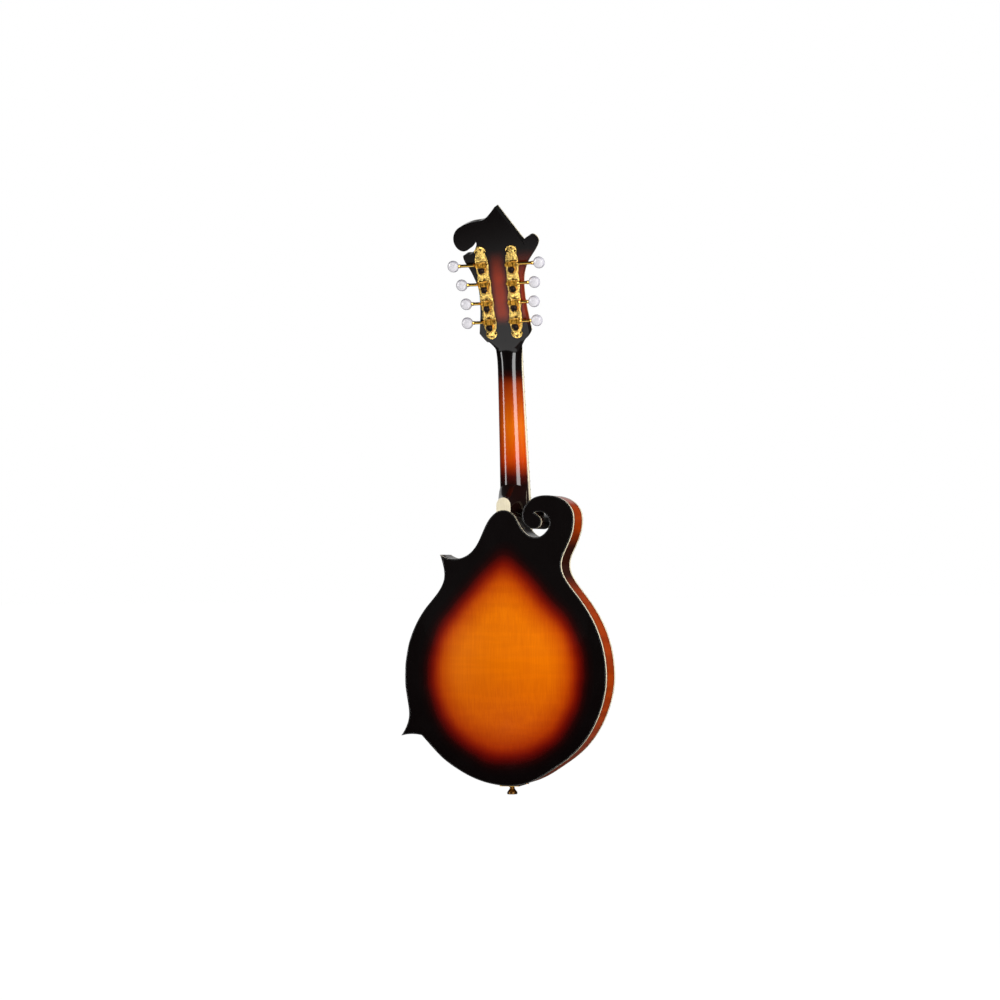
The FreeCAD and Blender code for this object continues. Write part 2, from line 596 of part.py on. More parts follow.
def worm_shaft(index):
    # a shaft with one right-hand thread between its two ears and a ferrule at the button
    x, t = POSTS[index]
    pitch = 2 * math.pi * GEAR_PITCH / GEAR_TEETH
    turns_length = 2 * WORM_HALF - pitch
    helix = Part.makeHelix(pitch, turns_length, WORM_ROOT)
    base, crest = 0.36, 0.20
    profile = Part.makePolygon([Vector(WORM_ROOT - 0.15, 0, -base), Vector(WORM_CREST, 0, -crest),
                                Vector(WORM_CREST, 0, crest), Vector(WORM_ROOT - 0.15, 0, base),
                                Vector(WORM_ROOT - 0.15, 0, -base)])
    thread = Part.Wire(helix.Edges).makePipeShell([profile], True, True)
    core = Part.makeCylinder(WORM_ROOT, turns_length + pitch, Vector(0, 0, -pitch / 2), Vector(0, 0, 1))
    worm = core.fuse(thread)
    worm.translate(Vector(0, 0, -turns_length / 2))
    # turned so that the thread stands in the gear's gap at rest
    worm.rotate(Vector(0, 0, 0), Vector(0, 0, 1), 360 * (0.75 - turns_length / (2 * pitch)))
    worm.rotate(Vector(0, 0, 0), Vector(0, 1, 0), 90)
    worm.translate(Vector(x, t + WORM_OFFSET, -WORM_DEPTH))
    end = KNOB_X[index] - KNOB_RADIUS
    place = (t + WORM_OFFSET, -WORM_DEPTH)
    shapes = [worm,
              rod(SHAFT_RADIUS, (x - 7.4, *place), (x - WORM_HALF, *place)),
              rod(SHAFT_RADIUS, (x + WORM_HALF, *place), (end + 5, *place)),
              rod(FERRULE_RADIUS, (x - 7.4, *place), (x - 6.1, *place)),
              rod(FERRULE_RADIUS, (end - 2.0, *place), (end + 0.8, *place))]
    return fused(shapes)


def gear_wheel():
    # straight teeth, thin enough to pass the worm's slanted thread
    wheel = Part.makeCylinder(GEAR_OUTER, GEAR_THICKNESS, Vector(0, 0, 0), Vector(0, 0, 1))
    gaps = []
    for i in range(GEAR_TEETH):
        points = [Vector(r, y, -1) for r, y in ((GEAR_ROOT, 0.42), (GEAR_OUTER + 0.6, 0.92),
                                                (GEAR_OUTER + 0.6, -0.92), (GEAR_ROOT, -0.42))]
        gap = polygon(points).extrude(Vector(0, 0, GEAR_THICKNESS + 2))
        gap.rotate(Vector(0, 0, 0), Vector(0, 0, 1), 90 + 360 / GEAR_TEETH * i)
        gaps.append(gap)
    return wheel.cut(Part.makeCompound(gaps))


def string_post(index):
    # the post with its winding groove and string hole, its gear and the screw that holds the gear
    x, t = POSTS[index]
    gear_low = -WORM_DEPTH - GEAR_THICKNESS / 2
    gear_high = gear_low + GEAR_THICKNESS
    profile = [(0, gear_high), (4.0, gear_high), (4.0, -16.4), (POST_RADIUS, -16.4), (POST_RADIUS, 3.0),
               (2.3, 4.0), (2.3, 8.6), (POST_RADIUS, 9.6), (POST_RADIUS, 11.2), (2.3, 12.0), (0, 12.2)]
    face = polygon([Vector(x + r, t, w) for r, w in profile])
    post = face.revolve(Vector(x, t, 0), Vector(0, 0, 1), 360)
    post = post.cut(rod(0.55, (x - 4, t, 6.4), (x + 4, t, 6.4)))
    gear = gear_wheel()
    gear.translate(Vector(x, t, gear_low))
    head = screw(x, t, gear_low, -1, 2.7, 1.0, 2)
    gear = gear.cut(rod(1.0, (x, t, gear_low - 1), (x, t, gear_high)))
    return post, gear, head


def knob(index):
    # a round pearl button with rounded rims, drilled for its shaft and ferrule
    x, t = KNOB_X[index], POSTS[index][1] + WORM_OFFSET
    button = rod(KNOB_RADIUS, (x, t, -WORM_DEPTH - KNOB_HALF), (x, t, -WORM_DEPTH + KNOB_HALF))
    button = button.makeFillet(KNOB_ROUNDING, [e for e in button.Edges if isinstance(e.Curve, Part.Circle)])
    end = x - KNOB_RADIUS
    button = button.cut(rod(SHAFT_RADIUS, (end - 3, t, -WORM_DEPTH), (end + 5, t, -WORM_DEPTH)))
    return button.cut(rod(FERRULE_RADIUS, (end - 3, t, -WORM_DEPTH), (end + 0.8, t, -WORM_DEPTH)))


def bushing(x, t):
    tube = rod(BUSHING_RADIUS, (x, t, -8), (x, t, 0.01)).fuse(rod(5.2, (x, t, 0), (x, t, 1)))
    return tube.cut(rod(POST_RADIUS + RUNNING, (x, t, -9), (x, t, 2)))


def tuners():
    # numbered from the tip down, first the treble side and then the bass side
    plate = tuner_plate()
    save("tuner_plate_treble", placed(plate, head_frame))
    save("tuner_plate_bass", placed(mirrored(plate), head_frame))
    bushings = [bushing(side * x, t) for x, t in POSTS for side in (-1, 1)]
    save("post_bushings", placed(Part.makeCompound(bushings), head_frame))
    treble_screws = Part.makeCompound(plate_screws())
    screws = [treble_screws, mirrored(treble_screws)] + cover_screws()
    save("peghead_screws", placed(Part.makeCompound(screws), head_frame))
    for index in range(len(POSTS)):
        pieces = (("knob", knob(index)), ("worm_shaft", worm_shaft(index)),
                  ("string_post", Part.makeCompound(string_post(index))))
        for name, shape in pieces:
            save(f"{name}_{index + 1}", placed(shape, head_frame))
            save(f"{name}_{index + 5}", placed(mirrored(shape), head_frame))


# ---- bridge, strings and tailpiece ----

def bridge_base():
    y = BASE_TOP_Y
    side = [(0, y + 0.6), (22, y + 1.2), (29, y), (43, y), (50, y + 4), (57, y + 8.5)]
    place = lambda x, v: Vector(x, v, BRIDGE_Z - 5.5)
    edges = [spline(side, place), Part.makeLine(place(57, y + 8.5), place(57, -10)),
             Part.makeLine(place(57, -10), place(-57, -10)), Part.makeLine(place(-57, -10), place(-57, y + 8.5)),
             spline([(-x, v) for x, v in reversed(side)], place)]
    block = face_of(edges).extrude(Vector(0, 0, 11))
    wide = polygon([Vector(-60, -10, BRIDGE_Z - 5.5), Vector(-60, y, BRIDGE_Z - 3.6),
                    Vector(-60, y, BRIDGE_Z + 3.6), Vector(-60, -10, BRIDGE_Z + 5.5)])
    block = block.common(wide.extrude(Vector(120, 0, 0)))
    base = block.cut(under_arch(TOP_FACE_Y - 0.02, TOP_ARCH, -1))
    holes = [rod(BRIDGE_POST_RADIUS, (s * BRIDGE_POST_X, y - 5, BRIDGE_Z), (s * BRIDGE_POST_X, y + 5, BRIDGE_Z))
             for s in (-1, 1)]
    return base.cut(Part.makeCompound(holes))


def bridge_posts():
    return Part.makeCompound([rod(BRIDGE_POST_RADIUS, (s * BRIDGE_POST_X, BASE_TOP_Y + 5, BRIDGE_Z),
                                  (s * BRIDGE_POST_X, SADDLE_LOW_Y - 3.2, BRIDGE_Z)) for s in (-1, 1)])


def thumbwheel(side):
    x = side * BRIDGE_POST_X
    wheel = rod(WHEEL_RADIUS, (x, WHEEL_LOW_Y, BRIDGE_Z), (x, WHEEL_LOW_Y - WHEEL_THICKNESS, BRIDGE_Z))
    knurls = []
    for i in range(24):
        angle = 2 * math.pi * i / 24
        cx, cz = x + (WHEEL_RADIUS + 0.3) * math.cos(angle), BRIDGE_Z + (WHEEL_RADIUS + 0.3) * math.sin(angle)
        knurls.append(rod(0.6, (cx, WHEEL_LOW_Y + 1, cz), (cx, WHEEL_LOW_Y - WHEEL_THICKNESS - 1, cz)))
    knurls.append(rod(BRIDGE_POST_RADIUS + RUNNING, (x, WHEEL_LOW_Y + 1, BRIDGE_Z),
                      (x, WHEEL_LOW_Y - WHEEL_THICKNESS - 1, BRIDGE_Z)))
    return wheel.cut(Part.makeCompound(knurls))


def bridge_saddle():
    low, top = SADDLE_LOW_Y, SADDLE_TOP_Y
    side = [(24, top), (36, top + 1.4), (46, low - 2.2), (49, low - 0.6)]
    place = lambda x, v: Vector(x, v, BRIDGE_Z - 3)
    edges = [spline(side, place), Part.makeLine(place(49, low - 0.6), place(49, low)),
             Part.makeLine(place(49, low), place(-49, low)), Part.makeLine(place(-49, low), place(-49, low - 0.6)),
             spline([(-x, v) for x, v in reversed(side)], place), Part.makeLine(place(-24, top), place(24, top))]
    block = face_of(edges).extrude(Vector(0, 0, 6))
    crown = [(low, -3), (top + 0.4, -1.4), (top, -0.5), (top, 0.5), (top + 0.4, 1.4), (low, 3)]
    taper = polygon([Vector(-60, y, BRIDGE_Z + z) for y, z in crown])
    block = block.common(taper.extrude(Vector(120, 0, 0)))
    holes = [rod(BRIDGE_POST_RADIUS + 0.1, (s * BRIDGE_POST_X, low + 1, BRIDGE_Z),
                 (s * BRIDGE_POST_X, low - 4.6, BRIDGE_Z)) for s in (-1, 1)]
    return block.cut(Part.makeCompound(holes))


def in_tail(x, h, s):
    # x across, h above the tailpiece's upper face, s along it from the bend
    return tail_frame.multVec(Vector(x, -h, s))


def string_route(pair, member):
    # hook, saddle, nut and post of one string, with the post's side that it runs to
    radius = STRING_RADII[pair]
    offset = -1 if member == 0 else 1
    bridge_x = PAIR_BRIDGE[pair] + offset * 1.3
    nut_x = PAIR_NUT[pair] + offset * 1.1
    hook = in_tail(bridge_x * HOOK_SPREAD, 1.3 + radius, 56)
    saddle = Vector(bridge_x, STRING_REST_Y - radius, BRIDGE_Z)
    nut_top = Vector(nut_x, STRING_NUT_Y - radius, 0.4)
    side = -1 if pair < 2 else 1
    outer = (member == 0) == (side < 0)
    rows = (3, 2) if pair in (0, 3) else (1, 0)
    x, t = POSTS[rows[0] if outer else rows[1]]
    end = head_frame.multVec(Vector(side * (x - 2.35 - radius), t - 0.5, 6.4))
    return radius, [hook, saddle, nut_top, end]


def string(pair, member):
    radius, route = string_route(pair, member)
    runs = []
    for start, end in zip(route, route[1:]):
        runs.append(Part.makeCylinder(radius, (end - start).Length, start, end - start))
    for corner in route[1:-1]:
        runs.append(Part.makeSphere(radius, corner))
    return fused(runs)


def strings(pairs):
    return Part.makeCompound([string(pair, member) for pair in pairs for member in (0, 1)])


def tail_block(low, high):
    # a box in the tailpiece's own plane, from (x, h, s) to (x, h, s)
    shape = box((low[0], -high[1], low[2]), (high[0], -low[1], high[2]))
    return placed(shape, tail_frame)


def tailpiece():
    plate = tail_block((-TAIL_HALF, -TAIL_METAL, 0), (TAIL_HALF, 0, TAIL_LENGTH))
    mount = box((-12, TAIL_BEND_Y + 0.4, TAIL_Z), (12, 21, TAIL_Z + TAIL_METAL))
    bend = box((-12, TAIL_BEND_Y, TAIL_Z), (12, TAIL_BEND_Y + 1.4, TAIL_Z + TAIL_METAL))
    hooks = []
    for pair in range(4):
        for member in (0, 1):
            radius, route = string_route(pair, member)
            x = route[0].x
            foot, tip = in_tail(x, -0.5, 54.6), in_tail(x, 3.6, 53.4)
            hooks.append(Part.makeCylinder(HOOK_RADIUS, (tip - foot).Length, foot, tip - foot))
    holes = [rod(1.1, (x, y, TAIL_Z - 2), (x, y, TAIL_Z + 3)) for x, y in tail_screw_places()]
    holes.append(rod(2.2, (0, RIB_MIDDLE_Y, TAIL_Z - 2), (0, RIB_MIDDLE_Y, TAIL_Z + 3)))
    return fused([plate, mount, bend] + hooks).cut(Part.makeCompound(holes))


def tail_screw_places():
    return [(-8, -6), (8, -6), (0, 17.5)]


def tail_screws():
    screws = []
    for x, y in tail_screw_places():
        head = Part.makeSphere(2.8, Vector(x, y, TAIL_Z + 1.8)).common(box((x - 4, y - 4, TAIL_Z - 3),
                                                                         (x + 4, y + 4, TAIL_Z)))
        screws.append(head.fuse(rod(1.1, (x, y, TAIL_Z), (x, y, TAIL_Z + 12))))
    return Part.makeCompound(screws)


def tail_cover():
    # a thin lid, open underneath and towards the bridge, its end wall cut out over the plate
    inner = TAIL_HALF + COVER_GAP
    outer = inner + COVER_METAL
    shell = tail_block((-outer, -1.0, 6), (outer, COVER_INNER + COVER_METAL, 92))
    hollow = tail_block((-inner, -2, 6 + COVER_METAL), (inner, COVER_INNER, 93))
    step = tail_block((-TAIL_HALF - 0.2, -2, 5), (TAIL_HALF + 0.2, 0.15, 7))
    return shell.cut(hollow).cut(step)


def main():
    os.makedirs("parts", exist_ok=True)
    back, top = body_plates()
    save("back_plate", back)
    save("top_plate", top)
    screw_ways = [rod(1.1, (x, y, TAIL_Z), (x, y, TAIL_Z + 12)) for x, y in tail_screw_places()]
    screw_ways.append(rod(2.2, (0, RIB_MIDDLE_Y, -532), (0, RIB_MIDDLE_Y, -512)))
    ways = Part.makeCompound(screw_ways)
    save("ribs", ribs().cut(ways))
    block_set = blocks().cut(ways)
    save("body_blocks", block_set)
    save("linings", linings(block_set))
    save("tone_bars", tone_bars())
    back_binding, top_binding = bindings()
    save("back_binding", back_binding)
    save("top_binding", top_binding)
    save("end_pin", end_pin())

    save("neck", neck())
    save("heel_cap", heel_cap())
    board, edge, inlays = fingerboard()
    save("fingerboard", placed(board, neck_frame))
    save("fingerboard_binding", placed(edge, neck_frame))
    save("position_dots", placed(inlays, neck_frame))
    save("frets", placed(frets(), neck_frame))
    save("nut", nut())
    veneer, head_edge = head_front()
    save("peghead_veneer", veneer)
    save("peghead_binding", head_edge)
    save("truss_rod", rod(2.0, truss_line(-190), truss_line(8)))
    truss_nut = rod(2.8, truss_line(8.3), truss_line(17))
    save("truss_rod_nut", truss_nut.cut(rod(1.6, truss_line(12), truss_line(18))))
    save("truss_rod_cover", truss_cover())

    tuners()

    save("bridge_base", bridge_base())
    save("bridge_posts", bridge_posts())
    save("thumbwheel_bass", thumbwheel(-1))
    save("thumbwheel_treble", thumbwheel(1))
    save("bridge_saddle", bridge_saddle())
    save("wound_strings", strings((0, 1)))
    save("plain_strings", strings((2, 3)))
    save("tailpiece", tailpiece())
    save("tailpiece_cover", tail_cover())
    save("tailpiece_screws", tail_screws())


main()
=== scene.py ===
import math

import bmesh
import bpy
from mathutils import Matrix, Vector


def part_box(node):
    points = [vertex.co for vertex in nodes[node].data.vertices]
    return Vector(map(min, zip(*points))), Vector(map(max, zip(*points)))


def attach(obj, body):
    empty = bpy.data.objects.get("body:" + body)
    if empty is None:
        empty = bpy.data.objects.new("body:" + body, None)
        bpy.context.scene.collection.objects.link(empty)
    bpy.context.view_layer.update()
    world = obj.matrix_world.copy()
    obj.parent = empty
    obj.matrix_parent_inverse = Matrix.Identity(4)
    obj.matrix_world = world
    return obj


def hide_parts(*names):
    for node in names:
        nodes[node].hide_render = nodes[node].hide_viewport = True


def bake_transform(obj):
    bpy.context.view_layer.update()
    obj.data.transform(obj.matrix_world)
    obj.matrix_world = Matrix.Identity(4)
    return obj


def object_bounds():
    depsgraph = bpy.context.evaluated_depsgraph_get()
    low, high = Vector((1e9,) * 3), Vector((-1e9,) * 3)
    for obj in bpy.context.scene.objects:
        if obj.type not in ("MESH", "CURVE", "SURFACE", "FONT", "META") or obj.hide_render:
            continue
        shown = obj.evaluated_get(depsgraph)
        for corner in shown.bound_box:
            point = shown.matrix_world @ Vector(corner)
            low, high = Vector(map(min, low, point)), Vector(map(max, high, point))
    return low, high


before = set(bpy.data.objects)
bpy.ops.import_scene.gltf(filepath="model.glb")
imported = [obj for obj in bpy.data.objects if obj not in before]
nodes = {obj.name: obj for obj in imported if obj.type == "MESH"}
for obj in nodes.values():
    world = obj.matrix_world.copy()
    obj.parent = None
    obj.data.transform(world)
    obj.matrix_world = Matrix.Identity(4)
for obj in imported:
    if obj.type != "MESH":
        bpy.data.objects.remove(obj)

scene = bpy.context.scene
cadLow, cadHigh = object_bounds()
mm = 0.001

# the instrument's own planes: neck (across, depth, down), peghead (across, along, out of its face)
framing = {
    "glueY": -4.6,
    "neckSlope": 4.8,
    "pegheadTilt": 18.43,
    "tailBend": (0, -15.6, -530.3),
    "tailSlope": 6.36,
}


def plane(place, degrees):
    return Matrix.Translation(Vector(place) * mm) @ Matrix.Rotation(math.radians(degrees), 4, "X")


neckPlane = plane((0, framing["glueY"], 0), -framing["neckSlope"])
headPlane = plane((0, framing["glueY"], 0), 90 - framing["pegheadTilt"])
tailPlane = plane(framing["tailBend"], framing["tailSlope"])


def at(where, x, y, z):
    return where @ (Vector((x, y, z)) * mm)


# shader nodes

class Wire:
    # a socket that takes part in plain arithmetic
    def __init__(self, paint, socket):
        self.paint, self.socket = paint, socket

    def math(self, operation, *others):
        return self.paint.node("ShaderNodeMath", {"operation": operation}, dict(enumerate((self,) + others)))

    def __add__(self, other):
        return self.math("ADD", other)

    def __sub__(self, other):
        return self.math("SUBTRACT", other)

    def __rsub__(self, other):
        return self.paint.node("ShaderNodeMath", {"operation": "SUBTRACT"}, {0: other, 1: self})

    def __mul__(self, other):
        return self.math("MULTIPLY", other)

    def __truediv__(self, other):
        return self.math("DIVIDE", other)

    __radd__ = __add__
    __rmul__ = __mul__


class Paint:
    # a node tree that is being wired up
    def __init__(self, owner):
        owner.use_nodes = True
        self.owner, self.tree = owner, owner.node_tree

    def node(self, kind, settings=None, sockets=None, output=0):
        made = self.tree.nodes.new(kind)
        for key, value in (settings or {}).items():
            if key == "stops":
                ramp = made.color_ramp
                while len(ramp.elements) < len(value):
                    ramp.elements.new(1)
                for element, (position, colour) in zip(ramp.elements, value):
                    element.position, element.color = position, (*colour, 1)
            else:
                setattr(made, key, value)
        for key, value in (sockets or {}).items():
            self.feed(made.inputs[key], value)
        return Wire(self, made.outputs[output])

    def feed(self, socket, value):
        if isinstance(value, Wire):
            self.tree.links.new(value.socket, socket)
        elif socket.type == "RGBA" and len(value) == 3:
            socket.default_value = (*value, 1)
        else:
            socket.default_value = value

    def place(self, scale=(1, 1, 1), turn=(0, 0, 0), shift=(0, 0, 0)):
        # object coordinates in millimetres
        where = self.node("ShaderNodeTexCoord", output="Object")
        return self.node("ShaderNodeMapping", {}, {
            "Vector": where, "Location": shift, "Rotation": [math.radians(a) for a in turn],
            "Scale": [1000 * s for s in scale]})

    def axes(self, where=None):
        parts = self.node("ShaderNodeSeparateXYZ", {}, {0: where or self.place()})
        return [Wire(self, out) for out in parts.socket.node.outputs]

    def noise(self, where, scale, detail=3, rough=0.5):
        return self.node("ShaderNodeTexNoise", {}, {
            "Vector": where, "Scale": scale, "Detail": detail, "Roughness": rough})

    def ramp(self, factor, stops):
        return self.node("ShaderNodeValToRGB", {"stops": stops}, {0: factor})

    def step(self, value, low, high):
        # 0 below low, 1 above high, smooth between
        return self.node("ShaderNodeMapRange", {"interpolation_type": "SMOOTHSTEP"}, {
            "Value": value, "From Min": low, "From Max": high})

    def mix(self, factor, first, second, way="MIX"):
        return self.node("ShaderNodeMix", {"data_type": "RGBA", "blend_type": way}, {
            0: factor, 6: first, 7: second}, 2)

    def bump(self, height, strength, distance=0.0001):
        return self.node("ShaderNodeBump", {}, {"Height": height, "Strength": strength, "Distance": distance})

    def shade(self, **values):
        shader = self.tree.nodes["Principled BSDF"]
        for key, value in values.items():
            self.feed(shader.inputs[key.replace("_", " ")], value)
        return self.owner


def newPaint(name):
    return Paint(bpy.data.materials.new(name))


def hexColour(text):
    # an sRGB colour as the linear one that shaders take
    parts = [int(text[i:i + 2], 16) / 255 for i in (0, 2, 4)]
    return tuple(c / 12.92 if c <= 0.04045 else ((c + 0.055) / 1.055) ** 2.4 for c in parts)


def dimmed(colour, share):
    return tuple(c * share for c in colour)


# finishes

lacquer = {
    "black": "0c0808",
    "lightShare": 0.62,     # stain under the clear coat, against the colour that it reads as in full light
    "baseShine": 0.04,
    "coatRoughness": 0.035,
    "coatLevel": 1.5,
    "bindingLine": 30.82,   # the back binding is black beyond this y and clean plastic below it
}
burst = {
    "centreZ": -395,
    "squeeze": 0.9,
    "rounding": 13,
    "spread": (58, 112),
    "stops": [(58, "f27a00"), (70, "e26900"), (79, "ce5200"), (86, "a62e00"), (91, "7e1400"), (95, "5e0801"),
              (100, "2a0302"), (105, "120404"), (111, "0a0606")],
}


def stain(text):
    return dimmed(hexColour(text), lacquer["lightShare"])


def glossy(paint, colour, roughness=0.3, coat=1.0):
    # a stained or painted base under a clear coat with faint orange peel
    peel = paint.noise(paint.place(), 0.11, 2)
    fine = paint.noise(paint.place(), 1.7, 2)
    wear = paint.step(paint.noise(paint.place(), 0.03, 4), 0.35, 0.75)
    return paint.shade(Base_Color=colour, Roughness=roughness + wear * 0.08,
                       Specular_IOR_Level=lacquer["baseShine"], Coat_Weight=coat,
                       Coat_Roughness=lacquer["coatRoughness"], Coat_IOR=lacquer["coatLevel"],
                       Normal=paint.bump(peel + fine * 0.06, 0.05, 0.0004))


def burstField(paint, settings):
    # distance from the middle of a teardrop: round below, two straight shoulders above
    x, _, z = paint.axes()
    rise = (z - settings["centreZ"]) * settings["squeeze"]
    across = (x * x + settings["rounding"] ** 2).math("SQRT")
    rounded = (across * across + rise * rise).math("SQRT")
    upper = rise.math("GREATER_THAN", rounded * 0.7071)
    return rounded + upper * ((across + rise) * 0.7071 - rounded)


def burstColour(paint, settings):
    low, high = settings["spread"]
    drift = (paint.noise(paint.place(), 0.02, 2) - 0.5) * 7
    field = (burstField(paint, settings) + drift - low) / (high - low)
    stops = [((f - low) / (high - low), stain(text)) for f, text in settings["stops"]]
    return paint.ramp(field, stops)


def woodLines(paint, pitch, stretch, detail=3):
    # fine lines along Z, as growth rings and pores read on a quartered board
    return paint.noise(paint.place(scale=(1 / pitch, 1 / pitch, 1 / stretch)), 1.0, detail, 0.6)


def backFinish():
    paint = newPaint("sunburstBack")
    _, _, z = paint.axes()
    colour = burstColour(paint, burst)
    # darker towards the bottom of the back: partly the stain deepening, partly painted shade where light from
    # above falls off
    stainAndShadeDown = paint.step(z, -350, -520)
    colour = paint.mix(stainAndShadeDown, colour, (0.66, 0.34, 0.4), "MULTIPLY")
    lines = paint.step(woodLines(paint, 1.1, 95), 0.32, 0.68)
    colour = paint.mix(lines * 0.5, colour, (0.80, 0.66, 0.5), "MULTIPLY")
    flame = paint.step(paint.noise(paint.place(scale=(1 / 60, 1 / 60, 1 / 7)), 1.0, 2), 0.45, 0.62)
    colour = paint.mix(flame * 0.3, colour, (1.16, 1.22, 1.2), "MULTIPLY")
    return glossy(paint, colour)


def topFinish():
    paint = newPaint("sunburstTop")
    rings = paint.step(woodLines(paint, 1.5, 260, 2), 0.42, 0.6)
    colour = paint.mix(rings * 0.45, burstColour(paint, burst), (0.74, 0.56, 0.42), "MULTIPLY")
    silk = paint.step(paint.noise(paint.place(scale=(1 / 5, 1 / 5, 1 / 26)), 1.0, 3), 0.5, 0.7)
    colour = paint.mix(silk * 0.2, colour, (1.12, 1.14, 1.1), "MULTIPLY")
    return glossy(paint, colour)


def ribFinish():
    # orange brown on the bouts, darker at the waist, the points, the neck joint and inside the scroll
    paint = newPaint("ribStain")
    x, y, z = paint.axes()
    flame = paint.step(paint.noise(paint.place(scale=(1 / 9, 1 / 70, 1 / 9)), 1.0, 2), 0.4, 0.65)
    colour = paint.mix(flame * 0.6, stain("a03804"), stain("842800"))
    waist = 1 - paint.step((z + 262).math("ABSOLUTE"), 14, 46)
    nearNeck = paint.step(x, -66, -50) * paint.step(z, -300, -262)
    treble = paint.step(x, 20, 60) * paint.step(z, -330, -290)
    dark = waist.math("MAXIMUM", nearNeck).math("MAXIMUM", treble)
    middle = (y - 9).math("ABSOLUTE")
    edge = paint.step(middle, 9, 19) * 0.55
    colour = paint.mix(dark.math("MAXIMUM", edge) * 0.96, colour, stain("1c0a06"))
    pores = paint.step(paint.noise(paint.place(scale=(1 / 30, 1 / 0.8, 1 / 30)), 1.0, 3), 0.4, 0.7)
    colour = paint.mix(pores * 0.3, colour, (0.72, 0.6, 0.5), "MULTIPLY")
    return glossy(paint, colour, coat=0.5)


# the neck's stain along Z, from the nut down to the heel
neckShade = {
    "span": (-20, -180),
    "fade": 20,
    "stops": [(-28, "0a0606"), (-36, "300703"), (-46, "8a2c06"), (-66, "ba4806"), (-98, "e46c04"),
              (-126, "dc5804"), (-139, "cc4403"), (-149, "962a02"), (-158, "48100a"), (-168, "180806")],
}


def amberBand(paint, z):
    top, bottom = neckShade["span"]
    return paint.step(z, top, top - neckShade["fade"]) * paint.step(z, bottom, bottom + neckShade["fade"])


def neckFinish():
    # shaded black at both ends, amber along the middle, with a red brown glow up the peghead's back
    paint = newPaint("neckStain")
    x, _, z = paint.axes()
    drift = (paint.noise(paint.place(), 0.05, 2) - 0.5) * 6
    top, bottom = neckShade["span"]
    down = (z + drift - top) / (bottom - top)
    glow = paint.step(z + drift, 21, 40) * paint.step(z + drift, 112, 74)
    middle = 1 - paint.step(x.math("ABSOLUTE"), 2, 13)
    side = paint.step(x, -23, -27) * 0.9
    glow = glow * middle.math("MAXIMUM", side)
    stops = [((place - top) / (bottom - top), stain(text)) for place, text in neckShade["stops"]]
    colour = paint.ramp(down, stops)
    # painted shade on the neck's flanks along the amber band: the +X flank darker and redder, the -X flank a
    # little darker
    colour = paint.mix(paint.step(x, 2, 13) * amberBand(paint, z), colour, (0.8, 0.58, 0.5), "MULTIPLY")
    colour = paint.mix(paint.step(x, -5, -13) * amberBand(paint, z), colour, (0.82, 0.8, 0.7), "MULTIPLY")
    colour = paint.mix(glow * 0.9, colour, stain("9c3008"))
    lines = paint.step(woodLines(paint, 0.9, 60), 0.35, 0.7)
    colour = paint.mix(lines * 0.4, colour, (0.76, 0.6, 0.44), "MULTIPLY")
    return glossy(paint, colour)


def blackFinish(name):
    paint = newPaint(name)
    haze = paint.step(paint.noise(paint.place(), 0.05, 3), 0.4, 0.8)
    colour = paint.mix(haze * 0.5, stain("0c0808"), stain("191416"))
    return glossy(paint, colour, 0.22)


def ivoryFinish(name, blackAbove=None):
    # clean plastic, lacquered black beyond a given y where one is named
    paint = newPaint(name)
    cloud = paint.noise(paint.place(), 0.25, 3)
    grain = paint.step(paint.noise(paint.place(scale=(1, 1, 1 / 14)), 1.4, 3), 0.4, 0.7)
    colour = paint.mix(cloud, stain("fff6dc"), stain("f0e2bd"))
    colour = paint.mix(grain * 0.35, colour, stain("dccaa0"))
    if blackAbove:
        painted = paint.step(paint.axes()[1], blackAbove - 0.04, blackAbove + 0.04)
        colour = paint.mix(painted, colour, stain(lacquer["black"]))
    return paint.shade(Base_Color=colour, Roughness=0.28 + cloud * 0.12, Coat_Weight=0.8,
                       Coat_Roughness=0.06, Normal=paint.bump(grain, 0.08, 0.0002))


def boneFinish():
    paint = newPaint("bone")
    cloud = paint.noise(paint.place(), 0.4, 4)
    pits = paint.step(paint.noise(paint.place(scale=(1, 1, 0.3)), 4, 2), 0.62, 0.7)
    colour = paint.mix(cloud, hexColour("efe9da"), hexColour("dccfae"))
    colour = paint.mix(pits * 0.4, colour, hexColour("b59f75"))
    return paint.shade(Base_Color=colour, Roughness=0.34 + cloud * 0.16, Normal=paint.bump(pits, 0.2, 0.0001))


def pearlFinish(name, light, deep, scale):
    paint = newPaint(name)
    warp = paint.noise(paint.place(), scale * 0.6, 2)
    bands = paint.node("ShaderNodeTexWave", {"wave_type": "BANDS"}, {
        "Vector": paint.place(turn=(20, 35, 10)), "Scale": scale, "Distortion": 9.0, "Detail": 2.0})
    shimmer = paint.step(bands * 0.6 + warp * 0.6, 0.3, 0.9)
    colour = paint.mix(shimmer, stain(deep), stain(light))
    return paint.shade(Base_Color=colour, Roughness=0.2 + shimmer * 0.12, Coat_Weight=0.9,
                       Subsurface_Weight=0.15, Subsurface_Radius=(0.002, 0.002, 0.002), Coat_Roughness=0.05,
                       Normal=paint.bump(warp, 0.05, 0.0003))


def roseFinish():
    paint = newPaint("rosewood")
    lines = paint.step(woodLines(paint, 0.8, 46, 4), 0.35, 0.7)
    bands = paint.step(woodLines(paint, 4.5, 150, 2), 0.4, 0.62)
    pores = paint.step(paint.noise(paint.place(scale=(1 / 0.35, 1 / 0.35, 1 / 5)), 1.0, 2), 0.62, 0.7)
    colour = paint.mix(bands, hexColour("2c1a12"), hexColour("43261a"))
    colour = paint.mix(lines * 0.5, colour, hexColour("1b0f0b"))
    colour = paint.mix(pores * 0.7, colour, hexColour("0d0705"))
    return paint.shade(Base_Color=colour, Roughness=0.42 + lines * 0.16,
                       Normal=paint.bump(lines * 0.4 - pores, 0.25, 0.0001))


